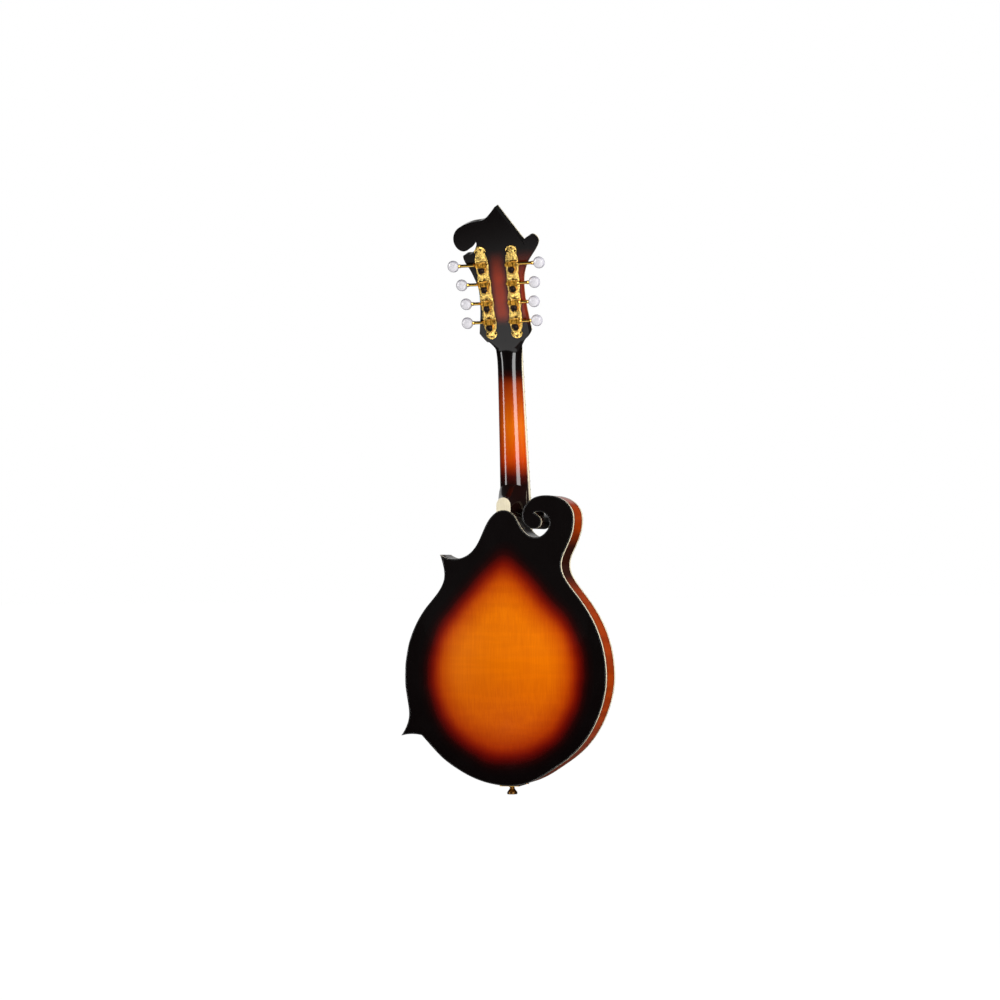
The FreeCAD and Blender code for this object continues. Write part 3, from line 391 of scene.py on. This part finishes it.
def spruceFinish():
    paint = newPaint("bareSpruce")
    lines = paint.step(woodLines(paint, 1.4, 180), 0.4, 0.62)
    fuzz = paint.noise(paint.place(), 0.8, 4)
    colour = paint.mix(lines * 0.6, hexColour("d9b98a"), hexColour("b08550"))
    return paint.shade(Base_Color=paint.mix(fuzz * 0.4, colour, hexColour("c9a06a")),
                       Roughness=0.62 + fuzz * 0.2, Normal=paint.bump(fuzz, 0.2, 0.0002))


def metalFinish(name, colour, tarnish, roughness=0.16):
    paint = newPaint(name)
    spots = paint.step(paint.noise(paint.place(), 0.35, 4), 0.5, 0.78)
    scuffs = paint.step(paint.noise(paint.place(scale=(1, 1 / 6, 1)), 3.0, 3), 0.52, 0.75)
    base = paint.mix(spots * 0.55, hexColour(colour), hexColour(tarnish))
    return paint.shade(Base_Color=base, Metallic=1.0, Roughness=roughness + spots * 0.12 + scuffs * 0.1,
                       Normal=paint.bump(scuffs, 0.06, 0.0001))


def engravedFinish(name, turn, polish="f6d074"):
    # plated sheet with curling cut lines, dark where polish stays in the cuts
    paint = newPaint(name)
    where = paint.place(turn=turn)
    curl = paint.noise(where, 0.42, 1.5)
    rings = (curl * 34).math("SINE").math("ABSOLUTE")
    cut = 1 - paint.step(rings, 0.3, 0.78)
    patches = paint.step(paint.noise(where, 0.5, 2), 0.3, 0.42)
    cut = cut * patches
    spots = paint.step(paint.noise(where, 0.9, 4), 0.5, 0.75)
    base = paint.mix(spots * 0.35, hexColour(polish), hexColour("c99230"))
    base = paint.mix(cut * 0.9, base, hexColour("3a2104"))
    return paint.shade(Base_Color=base, Metallic=1.0, Roughness=0.2 + cut * 0.25 + spots * 0.08,
                       Normal=paint.bump(1 - cut, 0.5, 0.0002))


def woundFinish():
    # bronze wrap wire, seen as fine rings across each string
    paint = newPaint("woundBronze")
    _, _, z = paint.axes()
    rings = ((z * 9).math("SINE") + 1) * 0.5
    tarnish = paint.noise(paint.place(), 0.1, 3)
    base = paint.mix(tarnish, hexColour("d79a5c"), hexColour("9c6836"))
    # painted shade: darker in the grooves between the turns
    base = paint.mix((1 - rings) * 0.5, base, hexColour("4a2c14"))
    return paint.shade(Base_Color=base, Metallic=1.0, Roughness=0.3 + tarnish * 0.1,
                       Normal=paint.bump(rings, 0.5, 0.00012))


backWood, topWood, ribWood, neckWood = backFinish(), topFinish(), ribFinish(), neckFinish()
blackGloss, blackCover = blackFinish("pegheadVeneer"), blackFinish("coverPlastic")
ivory, backIvory = ivoryFinish("ivoryPlastic"), ivoryFinish("backBindingPlastic", lacquer["bindingLine"])
bone, rosewood, spruce = boneFinish(), roseFinish(), spruceFinish()
buttonPearl = pearlFinish("buttonPearl", "f8f5f8", "dedbe2", 0.22)
# the buttons' rims: the same pearl, deeper in colour as painted shade where the rim turns away from the light
shadedRimPearl = pearlFinish("shadedRimPearl", "d2cfd6", "b6b3bc", 0.3)
dotPearl = pearlFinish("dotPearl", "f2f4ee", "b9c4c8", 0.5)
gold = metalFinish("goldPlate", "f4c766", "c98f2e")
headEngraving = engravedFinish("engravedGold", (-71.57, 0, 0))
# the strap's plating is the sheet's, with a darker polish colour painted in as shade
shadedStrapEngraving = engravedFinish("engravedStrapPaintedShade", (-71.57, 0, 30), "a87a2c")
# dark brown painted shadow for the lines round the straps and the lobes' notches
paintedShadow = metalFinish("paintedShadowLines", "3c2608", "1e1204", 0.45)
tailEngraving = engravedFinish("engravedTailpiece", (6.36, 0, 0))
steel = metalFinish("polishedSteel", "c9cbce", "8e9297", 0.22)
darkPostEnd = metalFinish("darkUnderGear", "2c2320", "120d0c", 0.34)
brass = metalFinish("agedBrass", "6a4c26", "38240e", 0.3)
nickel = metalFinish("nickelSilver", "d8d6cc", "a5a297", 0.2)
bronze = woundFinish()
print("finishes made")


# mesh helpers

def merged(node, spacing=2e-6):
    # a CAD mesh comes as loose triangles, so its copy is closed up first
    shape = bmesh.new()
    shape.from_mesh(nodes[node].data)
    bmesh.ops.remove_doubles(shape, verts=shape.verts, dist=spacing)
    return shape


def tidyFlats(shape, degrees=0.6):
    bmesh.ops.dissolve_limit(shape, angle_limit=math.radians(degrees), verts=shape.verts, edges=shape.edges)


def creases(shape, degrees):
    limit = math.radians(degrees)
    return [e for e in shape.edges if len(e.link_faces) == 2 and e.calc_face_angle(0) > limit]


def soften(shape, width, degrees=50, segments=2):
    # rounds every sharp edge
    tidyFlats(shape)
    bmesh.ops.bevel(shape, geom=creases(shape, degrees), offset=width * mm, offset_type="OFFSET",
                    affect="EDGES", segments=segments, profile=0.5, material=-1, clamp_overlap=True)


def cutAway(shape, point, normal):
    # removes what lies on the normal's side of a plane
    geometry = shape.verts[:] + shape.edges[:] + shape.faces[:]
    bmesh.ops.bisect_plane(shape, geom=geometry, plane_co=point, plane_no=normal, clear_outer=True)


def addPiece(name, shape, finishes, body="instrument", replaced=(), sharp=32):
    mesh = bpy.data.meshes.new(name)
    shape.to_mesh(mesh)
    shape.free()
    for finish in finishes:
        mesh.materials.append(finish)
    mesh.shade_smooth()
    mesh.set_sharp_from_angle(angle=math.radians(sharp))
    piece = bpy.data.objects.new(name, mesh)
    scene.collection.objects.link(piece)
    if body:
        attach(piece, body)
    if replaced:
        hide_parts(*replaced)
    return piece


def refined(name, node, finish, body="instrument", bevel=0, sharp=32, segments=2):
    # the same shape as the CAD node, with worn edges and smooth curves
    shape = merged(node)
    if bevel:
        soften(shape, bevel, segments=segments)
    return addPiece(name, shape, [finish], body, [node], sharp)


def addRod(shape, start, end, radius, sides=12, steps=1):
    # a straight wire, with rings along it when steps are asked for
    line = end - start
    turn = line.to_track_quat("Z", "Y").to_matrix().to_4x4()
    made = bmesh.ops.create_cone(shape, cap_ends=True, segments=sides, radius1=radius, radius2=radius,
                                 depth=line.length, matrix=Matrix.Translation((start + end) / 2) @ turn)
    if steps > 1:
        edges = {e for v in made["verts"] for e in v.link_edges}
        sideEdges = [e for e in edges if e.calc_length() > 0.9 * line.length]
        bmesh.ops.subdivide_edges(shape, edges=sideEdges, cuts=steps - 1)


def spunShape(profile, centre, axis, sides=40):
    # a profile of (radius, height) turned round an axis, both ends on it
    shape = bmesh.new()
    turn = axis.to_track_quat("Z", "Y").to_matrix().to_4x4()
    place = Matrix.Translation(centre) @ turn
    line = [shape.verts.new(place @ Vector((r * mm, 0, h * mm))) for r, h in profile]
    edges = [shape.edges.new(pair) for pair in zip(line, line[1:])]
    bmesh.ops.spin(shape, geom=line + edges, cent=centre, axis=axis, angle=math.tau, steps=sides,
                   use_merge=True)
    bmesh.ops.remove_doubles(shape, verts=shape.verts, dist=1e-6)
    bmesh.ops.recalc_face_normals(shape, faces=shape.faces)
    return shape


# body

plates = {
    "grid": 4.0,
    "thickness": 4.5,
    "archCentreZ": -385,
    "archHalfWidth": 115,
    "archUp": 168,
    "archDown": 133,
    "backArch": 9.5,
    "topArch": 14,
}


def archHeight(x, z):
    reach = plates["archUp"] if z > plates["archCentreZ"] else plates["archDown"]
    distance = math.hypot(x / plates["archHalfWidth"], (z - plates["archCentreZ"]) / reach)
    return math.cos(min(distance, 1) * math.pi / 2) ** 2


def carvedPlate(name, node, finish, edgeY, arch, outward):
    # the plate's plan, cut into an even grid, raised into its arch and given its thickness
    shape = merged(node)
    away = [f for f in shape.faces if f.normal.y * outward < 0.3]
    bmesh.ops.delete(shape, geom=away, context="FACES")
    for v in shape.verts:
        v.co.y = 0
    bmesh.ops.remove_doubles(shape, verts=shape.verts, dist=1e-5)
    tidyFlats(shape, 2)
    low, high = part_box(node)
    for axis in (0, 2):
        count = int((high[axis] - low[axis]) / (plates["grid"] * mm))
        direction = [0, 0, 0]
        direction[axis] = 1
        for i in range(1, count + 1):
            point = [0, 0, 0]
            point[axis] = low[axis] + i * (high[axis] - low[axis]) / (count + 1)
            geometry = shape.verts[:] + shape.edges[:] + shape.faces[:]
            bmesh.ops.bisect_plane(shape, geom=geometry, dist=1e-6, plane_co=point, plane_no=direction)
    for v in shape.verts:
        v.co.y = (edgeY + outward * arch * archHeight(v.co.x / mm, v.co.z / mm)) * mm
    bmesh.ops.triangulate(shape, faces=[f for f in shape.faces if len(f.verts) > 4])
    rim = bmesh.ops.extrude_face_region(shape, geom=shape.faces[:], use_keep_orig=True)
    for v in [g for g in rim["geom"] if isinstance(g, bmesh.types.BMVert)]:
        v.co.y -= outward * plates["thickness"] * mm
    bmesh.ops.recalc_face_normals(shape, faces=shape.faces)
    return addPiece(name, shape, [finish], replaced=[node], sharp=50)


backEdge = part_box("back_binding")[1].y / mm
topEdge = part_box("top_binding")[0].y / mm
carvedPlate("backPlate", "back_plate", backWood, backEdge, plates["backArch"], 1)
carvedPlate("topPlate", "top_plate", topWood, topEdge, plates["topArch"], -1)
refined("ribs", "ribs", ribWood, sharp=40)
refined("backBinding", "back_binding", backIvory, bevel=0.3, sharp=40)
refined("topBinding", "top_binding", ivory, bevel=0.3, sharp=40)
for node in ("body_blocks", "linings", "tone_bars"):
    nodes[node].data.materials.clear()
    nodes[node].data.materials.append(spruce)
refined("endPin", "end_pin", brass, sharp=30)
print("body made")


# neck

neckShape = {
    "thickness": 15.0,
    "veneer": 2.0,
    "sides": 26,
    "coreFrom": 9.2,        # the slab starts this far along the peghead
    "heelFrom": -156.0,     # the heel reaches up to this z
    # down the neck, half width, depth, squareness
    "shaft": [(219, 18.0, 17.3, 2.3), (170, 17.2, 16.6, 2.3), (120, 16.2, 15.7, 2.3), (70, 15.4, 15.0, 2.3),
              (40, 15.0, 14.6, 2.3), (26, 14.9, 14.4, 2.3), (17, 15.0, 14.3, 2.35), (10, 15.4, 14.2, 2.5),
              (4, 16.0, 14.0, 2.7)],
    # along the peghead, half width, squareness
    "rise": [(1, 17.0, 3.1), (3.5, 18.4, 3.9), (6.5, 20.4, 5.2), (9.5, 22.8, 7.0), (11.5, 24.4, 9.0)],
}


def sectionRing(shape, frameOf, halfWidth, depth, power, sides):
    # half of a circle pulled into a D, closed by the flat that the fingerboard is glued to
    made = bmesh.ops.create_circle(shape, segments=2 * sides, radius=1)
    ring = made["verts"]
    for v in ring:
        c, s = v.co.x, v.co.y
        x = halfWidth * math.copysign(abs(c) ** (2 / power), c)
        d = depth * abs(s) ** (2 / power) if s > 0 else 0
        v.co = frameOf(x, d)
    return [e for e in shape.edges if e.verts[0] in ring and e.verts[1] in ring]


def neckShaft():
    s = neckShape
    shape = bmesh.new()
    rings = []
    for down, halfWidth, depth, power in s["shaft"]:
        place = lambda x, d, down=down: at(neckPlane, x, d, -down)
        rings.append(sectionRing(shape, place, halfWidth, depth, power, s["sides"]))
    thick = s["thickness"] - s["veneer"]
    for along, halfWidth, power in s["rise"]:
        place = lambda x, d, along=along: at(headPlane, x, along, -s["veneer"] - d)
        rings.append(sectionRing(shape, place, halfWidth, thick, power, s["sides"]))
    for first, second in zip(rings, rings[1:]):
        bmesh.ops.bridge_loops(shape, edges=first + second)
    bmesh.ops.edgeloop_fill(shape, edges=rings[0])
    bmesh.ops.edgeloop_fill(shape, edges=rings[-1])
    bmesh.ops.recalc_face_normals(shape, faces=shape.faces)
    return addPiece("neckShaft", shape, [neckWood], replaced=["neck"], sharp=60)


def pegheadCore():
    # the peghead's slab above the neck's flare
    shape = merged("neck")
    along = headPlane.to_3x3() @ Vector((0, 1, 0))
    cutAway(shape, at(headPlane, 0, neckShape["coreFrom"], 0), -along)
    tidyFlats(shape)
    return addPiece("pegheadCore", shape, [neckWood], replaced=["neck"], sharp=32)


def neckHeel():
    # the heel under the neck, with the tongue that carries the fingerboard over the body
    shape = merged("neck")
    cutAway(shape, Vector((0, 0, neckShape["heelFrom"] * mm)), Vector((0, 0, 1)))
    return addPiece("neckHeel", shape, [neckWood], replaced=["neck"], sharp=50)


neckShaft()
pegheadCore()
neckHeel()
refined("heelCap", "heel_cap", ivory, bevel=0.35)
refined("fingerboard", "fingerboard", rosewood, bevel=0.2)
refined("fingerboardBinding", "fingerboard_binding", ivory, bevel=0.3)
refined("positionDots", "position_dots", dotPearl)
refined("nut", "nut", bone, bevel=0.4)
refined("pegheadVeneer", "peghead_veneer", blackGloss, bevel=0.15)
refined("pegheadBinding", "peghead_binding", ivory)
refined("trussCover", "truss_rod_cover", blackCover, bevel=0.3)
refined("trussNut", "truss_rod_nut", steel, "truss_nut", bevel=0.2)
refined("frets", "frets", nickel, sharp=60)
for node, finish in (("truss_rod", steel), ("peghead_screws", brass), ("post_bushings", gold),
                     ("bridge_posts", gold), ("tailpiece_screws", gold)):
    nodes[node].data.materials.clear()
    nodes[node].data.materials.append(finish)
print("neck made")


# tuners

tuner = {
    "posts": [(18.7, 98.0), (17.9, 74.6), (17.1, 51.2), (16.2, 27.9)],
    "knobX": [53.4, 45.3, 42.4, 43.5],
    "wormRise": 7.0,
    "wormDepth": 19.6,
    "knobRadius": 7.15,
    "knobHalf": 3.65,
    "gearLow": -21.05,
    "grooveRadius": 2.3,
    "shadedRimFrom": 0.8,         # share of the button's radius where its rim, painted darker as shade, starts
    "sleeveRadius": 1.9,
    "sleeveStart": 8.6,
    "sleeveGap": 1.6,
}
# the plates' trim, in the peghead's plane: the strap over each worm, and painted shadow lines and spots along
# the straps and at the lobes
platework = {
    "sheet": -16.2,
    "strap": (6.2, 2.75, -23.2, -22.55),    # half width, half height, outer and inner face
    "line": 0.8,            # width of a painted shadow line
    "sheetShadowLines": (-3.65, 2.85),
    "strapShadowLines": (-3.4, 2.6),
    "shadowDepths": (0.22, 0.06),              # in the sheet, in the strap
    "lobes": (20, 120),
    "lobeStart": (15.7, 13),
    "lobeLean": 0.033,
    "notches": (-6.3, 4.1),
    "notchShadowSize": (2.2, 1.2, 0.2),           # width, half height, depth
}


def knobProfile():
    # two crowned faces with a shallow groove inside the rim
    shares = [(0, 1), (0.3, 0.985), (0.52, 0.93), (0.66, 0.84), (0.72, 0.78), (0.78, 0.80), (0.87, 0.68),
              (0.95, 0.42), (1, 0)]
    face = [(tuner["knobRadius"] * across, tuner["knobHalf"] * high) for across, high in shares]
    return face + [(r, -h) for r, h in reversed(face[:-1])]


def addTuner(number):
    side = 1 if number <= 4 else -1
    row = (number - 1) % 4
    across, along = tuner["posts"][row]
    out = headPlane.to_3x3() @ Vector((0, 0, 1))
    centre = at(headPlane, side * tuner["knobX"][row], along + tuner["wormRise"], -tuner["wormDepth"])
    knob = spunShape(knobProfile(), centre, out)
    toHead = headPlane.inverted()
    # faces out on the rim take the pearl painted darker as shade
    for face in knob.faces:
        middle = toHead @ (face.calc_center_median() - centre + headPlane.translation)
        if math.hypot(middle.x, middle.y) > tuner["shadedRimFrom"] * tuner["knobRadius"] * mm:
            face.material_index = 1
    addPiece(f"button{number}", knob, [buttonPearl, shadedRimPearl], f"tuner_{number}",
             [f"knob_{number}"], 45)
    shaft = merged(f"worm_shaft_{number}")
    sleeveStart = at(headPlane, side * (across + tuner["sleeveStart"]), along + tuner["wormRise"],
                     -tuner["wormDepth"])
    sleeveReach = (tuner["knobRadius"] + tuner["sleeveGap"]) * mm
    sleeveEnd = centre - headPlane.to_3x3() @ Vector((side * sleeveReach, 0, 0))
    addRod(shaft, sleeveStart, sleeveEnd, tuner["sleeveRadius"] * mm, sides=28)
    addPiece(f"wormShaft{number}", shaft, [gold], f"tuner_{number}", [f"worm_shaft_{number}"], 35)
    post = merged(f"string_post_{number}")
    # the post's end below the gear is given a dark finish
    for face in post.faces:
        if (toHead @ face.calc_center_median()).z < tuner["gearLow"] * mm:
            face.material_index = 1
    addPiece(f"stringPost{number}", post, [gold, darkPostEnd], f"post_{number}",
             [f"string_post_{number}"], 35)


for number in range(1, 9):
    addTuner(number)


def addBlock(shape, where, low, high):
    size = Vector(high) - Vector(low)
    middle = (Vector(high) + Vector(low)) / 2
    place = where @ Matrix.Translation(middle * mm) @ Matrix.Diagonal((*(size * mm), 1))
    return bmesh.ops.create_cube(shape, size=1, matrix=place)


def paintFaces(made, index):
    for face in {f for v in made["verts"] for f in v.link_faces}:
        face.material_index = index


def tunerPlate(name, node, side):
    # the pierced sheet with its ears, a thin engraved strap over each worm, and dark strips and spots painted
    # as shadow round the straps and at the lobes
    shape = merged(node)
    soften(shape, 0.15)
    p = platework
    sheet = p["sheet"]
    reach, half, outer, inner = p["strap"]
    sheetDepth, strapDepth = p["shadowDepths"]

    def addTrim(index, low, high):
        paintFaces(addBlock(shape, headPlane, low, high), index)

    for across, along in tuner["posts"]:
        x, t = side * across, along + tuner["wormRise"]
        addTrim(1, (x - reach, t - half, outer), (x + reach, t + half, inner))
        # painted shadow lines along the strap's edges, in the sheet and down the strap's face
        for cut in p["sheetShadowLines"]:
            addTrim(2, (x - reach, t + cut, sheet - sheetDepth), (x + reach, t + cut + p["line"], sheet))
        for cut in p["strapShadowLines"]:
            addTrim(2, (x + cut, t - half, outer - strapDepth), (x + cut + p["line"], t + half, outer))
    wide, tall, deep = p["notchShadowSize"]
    lobeX, lobeT = p["lobeStart"]
    # painted shadow spots at the sides of each lobe
    for t in p["lobes"]:
        x = side * (lobeX + p["lobeLean"] * (t - lobeT))
        for away in p["notches"]:
            addTrim(2, (x + away, t - tall, sheet - deep), (x + away + wide, t + tall, sheet))
    return addPiece(name, shape, [headEngraving, shadedStrapEngraving, paintedShadow], replaced=[node])


tunerPlate("tunerPlateTreble", "tuner_plate_treble", 1)
tunerPlate("tunerPlateBass", "tuner_plate_bass", -1)
print("tuners made")


# bridge, strings and tailpiece

stringing = {
    "radii": [0.50, 0.34, 0.20, 0.14],
    "bridgeX": [-19.0, -6.4, 6.4, 19.0],
    "nutX": [-11.2, -3.75, 3.75, 11.2],
    "bridgeGap": 1.3,
    "nutGap": 1.1,
    "saddleLift": 0.1,
    "nutLift": 0.05,
    "nutZ": 0.4,
    "hookLift": 1.3,
    "hookAlong": 56,
    "hookSpread": 0.5,
    "wireGap": 0.05,
    "postEntry": (0.5, 6.4),    # how far below the post's axis and how high the string meets it
    "turns": 4,
    "turnPitch": 2.1,           # in radii of the wire
    "riseLimit": 4.2,
}
refined("bridgeBase", "bridge_base", rosewood, bevel=0.5)
refined("bridgeSaddle", "bridge_saddle", rosewood, "saddle", bevel=0.35)
refined("thumbwheelBass", "thumbwheel_bass", gold, "bass_wheel", bevel=0.12)
refined("thumbwheelTreble", "thumbwheel_treble", gold, "treble_wheel", bevel=0.12)
refined("tailpiece", "tailpiece", gold, bevel=0.15)
refined("tailpieceCover", "tailpiece_cover", tailEngraving, "cover", bevel=0.7, segments=3)


def stringRoute(pair, member):
    # hook, saddle, nut and post of one string
    s = stringing
    radius = s["radii"][pair]
    shift = -1 if member == 0 else 1
    bridgeX = s["bridgeX"][pair] + shift * s["bridgeGap"]
    hook = at(tailPlane, bridgeX * s["hookSpread"], -s["hookLift"] - radius, s["hookAlong"])
    low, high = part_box("bridge_saddle")
    saddle = Vector((bridgeX * mm, low.y - (s["saddleLift"] + radius) * mm, (low.z + high.z) / 2))
    nutX = s["nutX"][pair] + shift * s["nutGap"]
    nutTop = Vector((nutX * mm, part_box("nut")[0].y - (s["nutLift"] + radius) * mm, s["nutZ"] * mm))
    side = -1 if pair < 2 else 1
    outer = (member == 0) == (side < 0)
    rows = (3, 2) if pair in (0, 3) else (1, 0)
    row = rows[0] if outer else rows[1]
    return radius, hook, saddle, nutTop, side, row


def addStrings(pairs, finish, slot, node):
    headSide, neckSide, tailSide = bmesh.new(), bmesh.new(), bmesh.new()
    for pair in pairs:
        for member in (0, 1):
            radius, hook, saddle, nutTop, side, row = stringRoute(pair, member)
            across, along = tuner["posts"][row]
            reach = tuner["grooveRadius"] + radius + stringing["wireGap"]
            drop, height = stringing["postEntry"]
            end = at(headPlane, side * (across - reach), along - drop, height)
            addRod(headSide, nutTop, end, radius * mm)
            addRod(neckSide, nutTop, saddle, radius * mm, steps=24)
            addRod(tailSide, hook, saddle, radius * mm, steps=12)
            addWinding(radius, side, row, finish)
    addPiece(f"{slot}HeadStrings", headSide, [finish], replaced=[node], sharp=50)
    neckPiece = addPiece(f"{slot}NeckStrings", neckSide, [finish], None, sharp=50)
    tailPiece = addPiece(f"{slot}TailStrings", tailSide, [finish], None, sharp=50)
    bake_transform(neckPiece)
    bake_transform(tailPiece)


def addWinding(radius, side, row, finish):
    # the turns round the post, one wire beside the next
    across, along = tuner["posts"][row]
    centre = at(headPlane, side * across, along, stringing["postEntry"][1])
    out = headPlane.to_3x3() @ Vector((0, 0, 1))
    inward = headPlane.to_3x3() @ Vector((-side, 0, 0))
    reach = (tuner["grooveRadius"] + radius + stringing["wireGap"]) * mm
    shape = bmesh.new()
    turn = (out.cross(inward)).to_track_quat("Z", "Y").to_matrix().to_4x4()
    made = bmesh.ops.create_circle(shape, cap_ends=True, segments=10, radius=radius * mm,
                                   matrix=Matrix.Translation(centre + inward * reach) @ turn)
    steps = 24 * stringing["turns"]
    rise = stringing["turnPitch"] * radius * mm * stringing["turns"] / steps
    rise = min(rise, stringing["riseLimit"] * mm / steps)
    geometry = made["verts"] + list({e for v in made["verts"] for e in v.link_edges}) + shape.faces[:]
    bmesh.ops.spin(shape, geom=geometry, cent=centre, axis=out, dvec=out * -rise * 0.5,
                   angle=side * math.tau * stringing["turns"], steps=steps)
    bmesh.ops.recalc_face_normals(shape, faces=shape.faces)
    number = row + (1 if side > 0 else 5)
    addPiece(f"winding{number}", shape, [finish], f"post_{number}", sharp=60)


addStrings((0, 1), bronze, "bronze", "wound_strings")
addStrings((2, 3), steel, "steel", "plain_strings")
print("bridge, strings and tailpiece made")


# studio

studio = {
    "target": (0.01044, 0.009, -0.18676),
    "azimuth": 196.84,
    "elevation": -1.47,
    "distance": 3.09674,
    "lens": 92.43,
    "roll": -0.78,
    "floorDrop": 0.62,      # the floor's depth under the instrument
    "floorSize": 60,
    "floorGlow": 0.9,
    "floorReach": (2.6, 2.0),
    "floorEdge": (0.1, 0.5),
    # the lit wall's fades: into the distance, up from its foot, down from its top, to one side
    "wallFades": [(-0.1, -0.4), (0.04, 0.12), (0.42, 0.3), (-0.04, 0.1)],
    "backdropGlow": 0.55,
    "roomGlow": 0.03,
}
# bearing in the XY plane in degrees, distance, height of the middle, width, height, radiance,
# and False for a fill light that is left out of reflections
softboxes = {
    "rightBox": (131, 2.4, 0.15, 1.5, 2.2, 8.0),
    "leftBox": (42, 2.4, 0.15, 0.5, 2.2, 9.0),
    "sideFill": (186, 2.4, 0.3, 1.6, 2.2, 9.0, False),
    "frontFill": (292, 2.4, 0.5, 1.6, 1.6, 5.0, False),
}


def addCamera(s):
    azimuth, elevation, roll = (math.radians(s[key]) for key in ("azimuth", "elevation", "roll"))
    back = Vector((math.sin(azimuth) * math.cos(elevation), -math.cos(azimuth) * math.cos(elevation),
                   math.sin(elevation)))
    right = Vector((0, 0, 1)).cross(back).normalized()
    up = back.cross(right)
    turnedRight = right * math.cos(roll) + up * math.sin(roll)
    turnedUp = up * math.cos(roll) - right * math.sin(roll)
    data = bpy.data.cameras.new("camera")
    data.lens = s["lens"]
    camera = bpy.data.objects.new("camera", data)
    scene.collection.objects.link(camera)
    place = Matrix.Translation(Vector(s["target"]) + back * s["distance"])
    camera.matrix_world = place @ Matrix((turnedRight, turnedUp, back)).transposed().to_4x4()
    scene.camera = camera


def addSoftbox(name, bearing, distance, height, width, tall, radiance, mirrored=True):
    data = bpy.data.lights.new(name, "AREA")
    data.shape, data.size, data.size_y = "RECTANGLE", width, tall
    data.energy = radiance * math.pi * width * tall
    light = bpy.data.objects.new(name, data)
    scene.collection.objects.link(light)
    target = Vector(studio["target"])
    angle = math.radians(bearing)
    place = Vector((math.cos(angle), math.sin(angle), 0)) * distance + Vector((target.x, target.y, height))
    turn = (place - target).to_track_quat("Z", "Y").to_matrix().to_4x4()
    light.matrix_world = Matrix.Translation(place) @ turn
    light.visible_camera = False
    light.visible_glossy = mirrored


def addRoom():
    # a lit wall low behind the instrument, a dim room around it, white where it is looked at
    paint = Paint(bpy.data.worlds.new("room"))
    scene.world = paint.owner
    x, y, z = paint.axes(paint.node("ShaderNodeTexCoord", output="Generated"))
    away, foot, top, aside = studio["wallFades"]
    wall = paint.step(y, *away) * paint.step(z, *foot) * paint.step(z, *top) * paint.step(x, *aside)
    glow = wall * (studio["backdropGlow"] - studio["roomGlow"]) + studio["roomGlow"]
    seen = paint.node("ShaderNodeLightPath", output="Is Camera Ray")
    paint.feed(paint.tree.nodes["Background"].inputs["Color"], glow + seen * (1 - glow))


def addFloor():
    shape = bmesh.new()
    level = cadLow.z - studio["floorDrop"]
    bmesh.ops.create_grid(shape, x_segments=1, y_segments=1, size=studio["floorSize"],
                          matrix=Matrix.Translation((0, 0, level)))
    mesh = bpy.data.meshes.new("floor")
    shape.to_mesh(mesh)
    shape.free()
    paint = newPaint("paleFloor")
    x, y, _ = paint.axes(paint.place(scale=(mm, mm, mm)))
    away = (x * x + y * y).math("SQRT")
    near = paint.step(away, *studio["floorReach"]) * paint.step(y, *studio["floorEdge"])
    glow = near * studio["floorGlow"]
    seen = paint.node("ShaderNodeLightPath", output="Is Camera Ray")
    mesh.materials.append(paint.shade(Base_Color=(0.05, 0.05, 0.05), Roughness=0.9,
                                      Emission_Color=glow + seen * (1 - glow), Emission_Strength=1.0))
    floor = bpy.data.objects.new("floor", mesh)
    scene.collection.objects.link(floor)


scene.view_settings.view_transform = "Standard"
addCamera(studio)
for name, values in softboxes.items():
    addSoftbox(name, *values)
addRoom()
addFloor()
print("studio made")
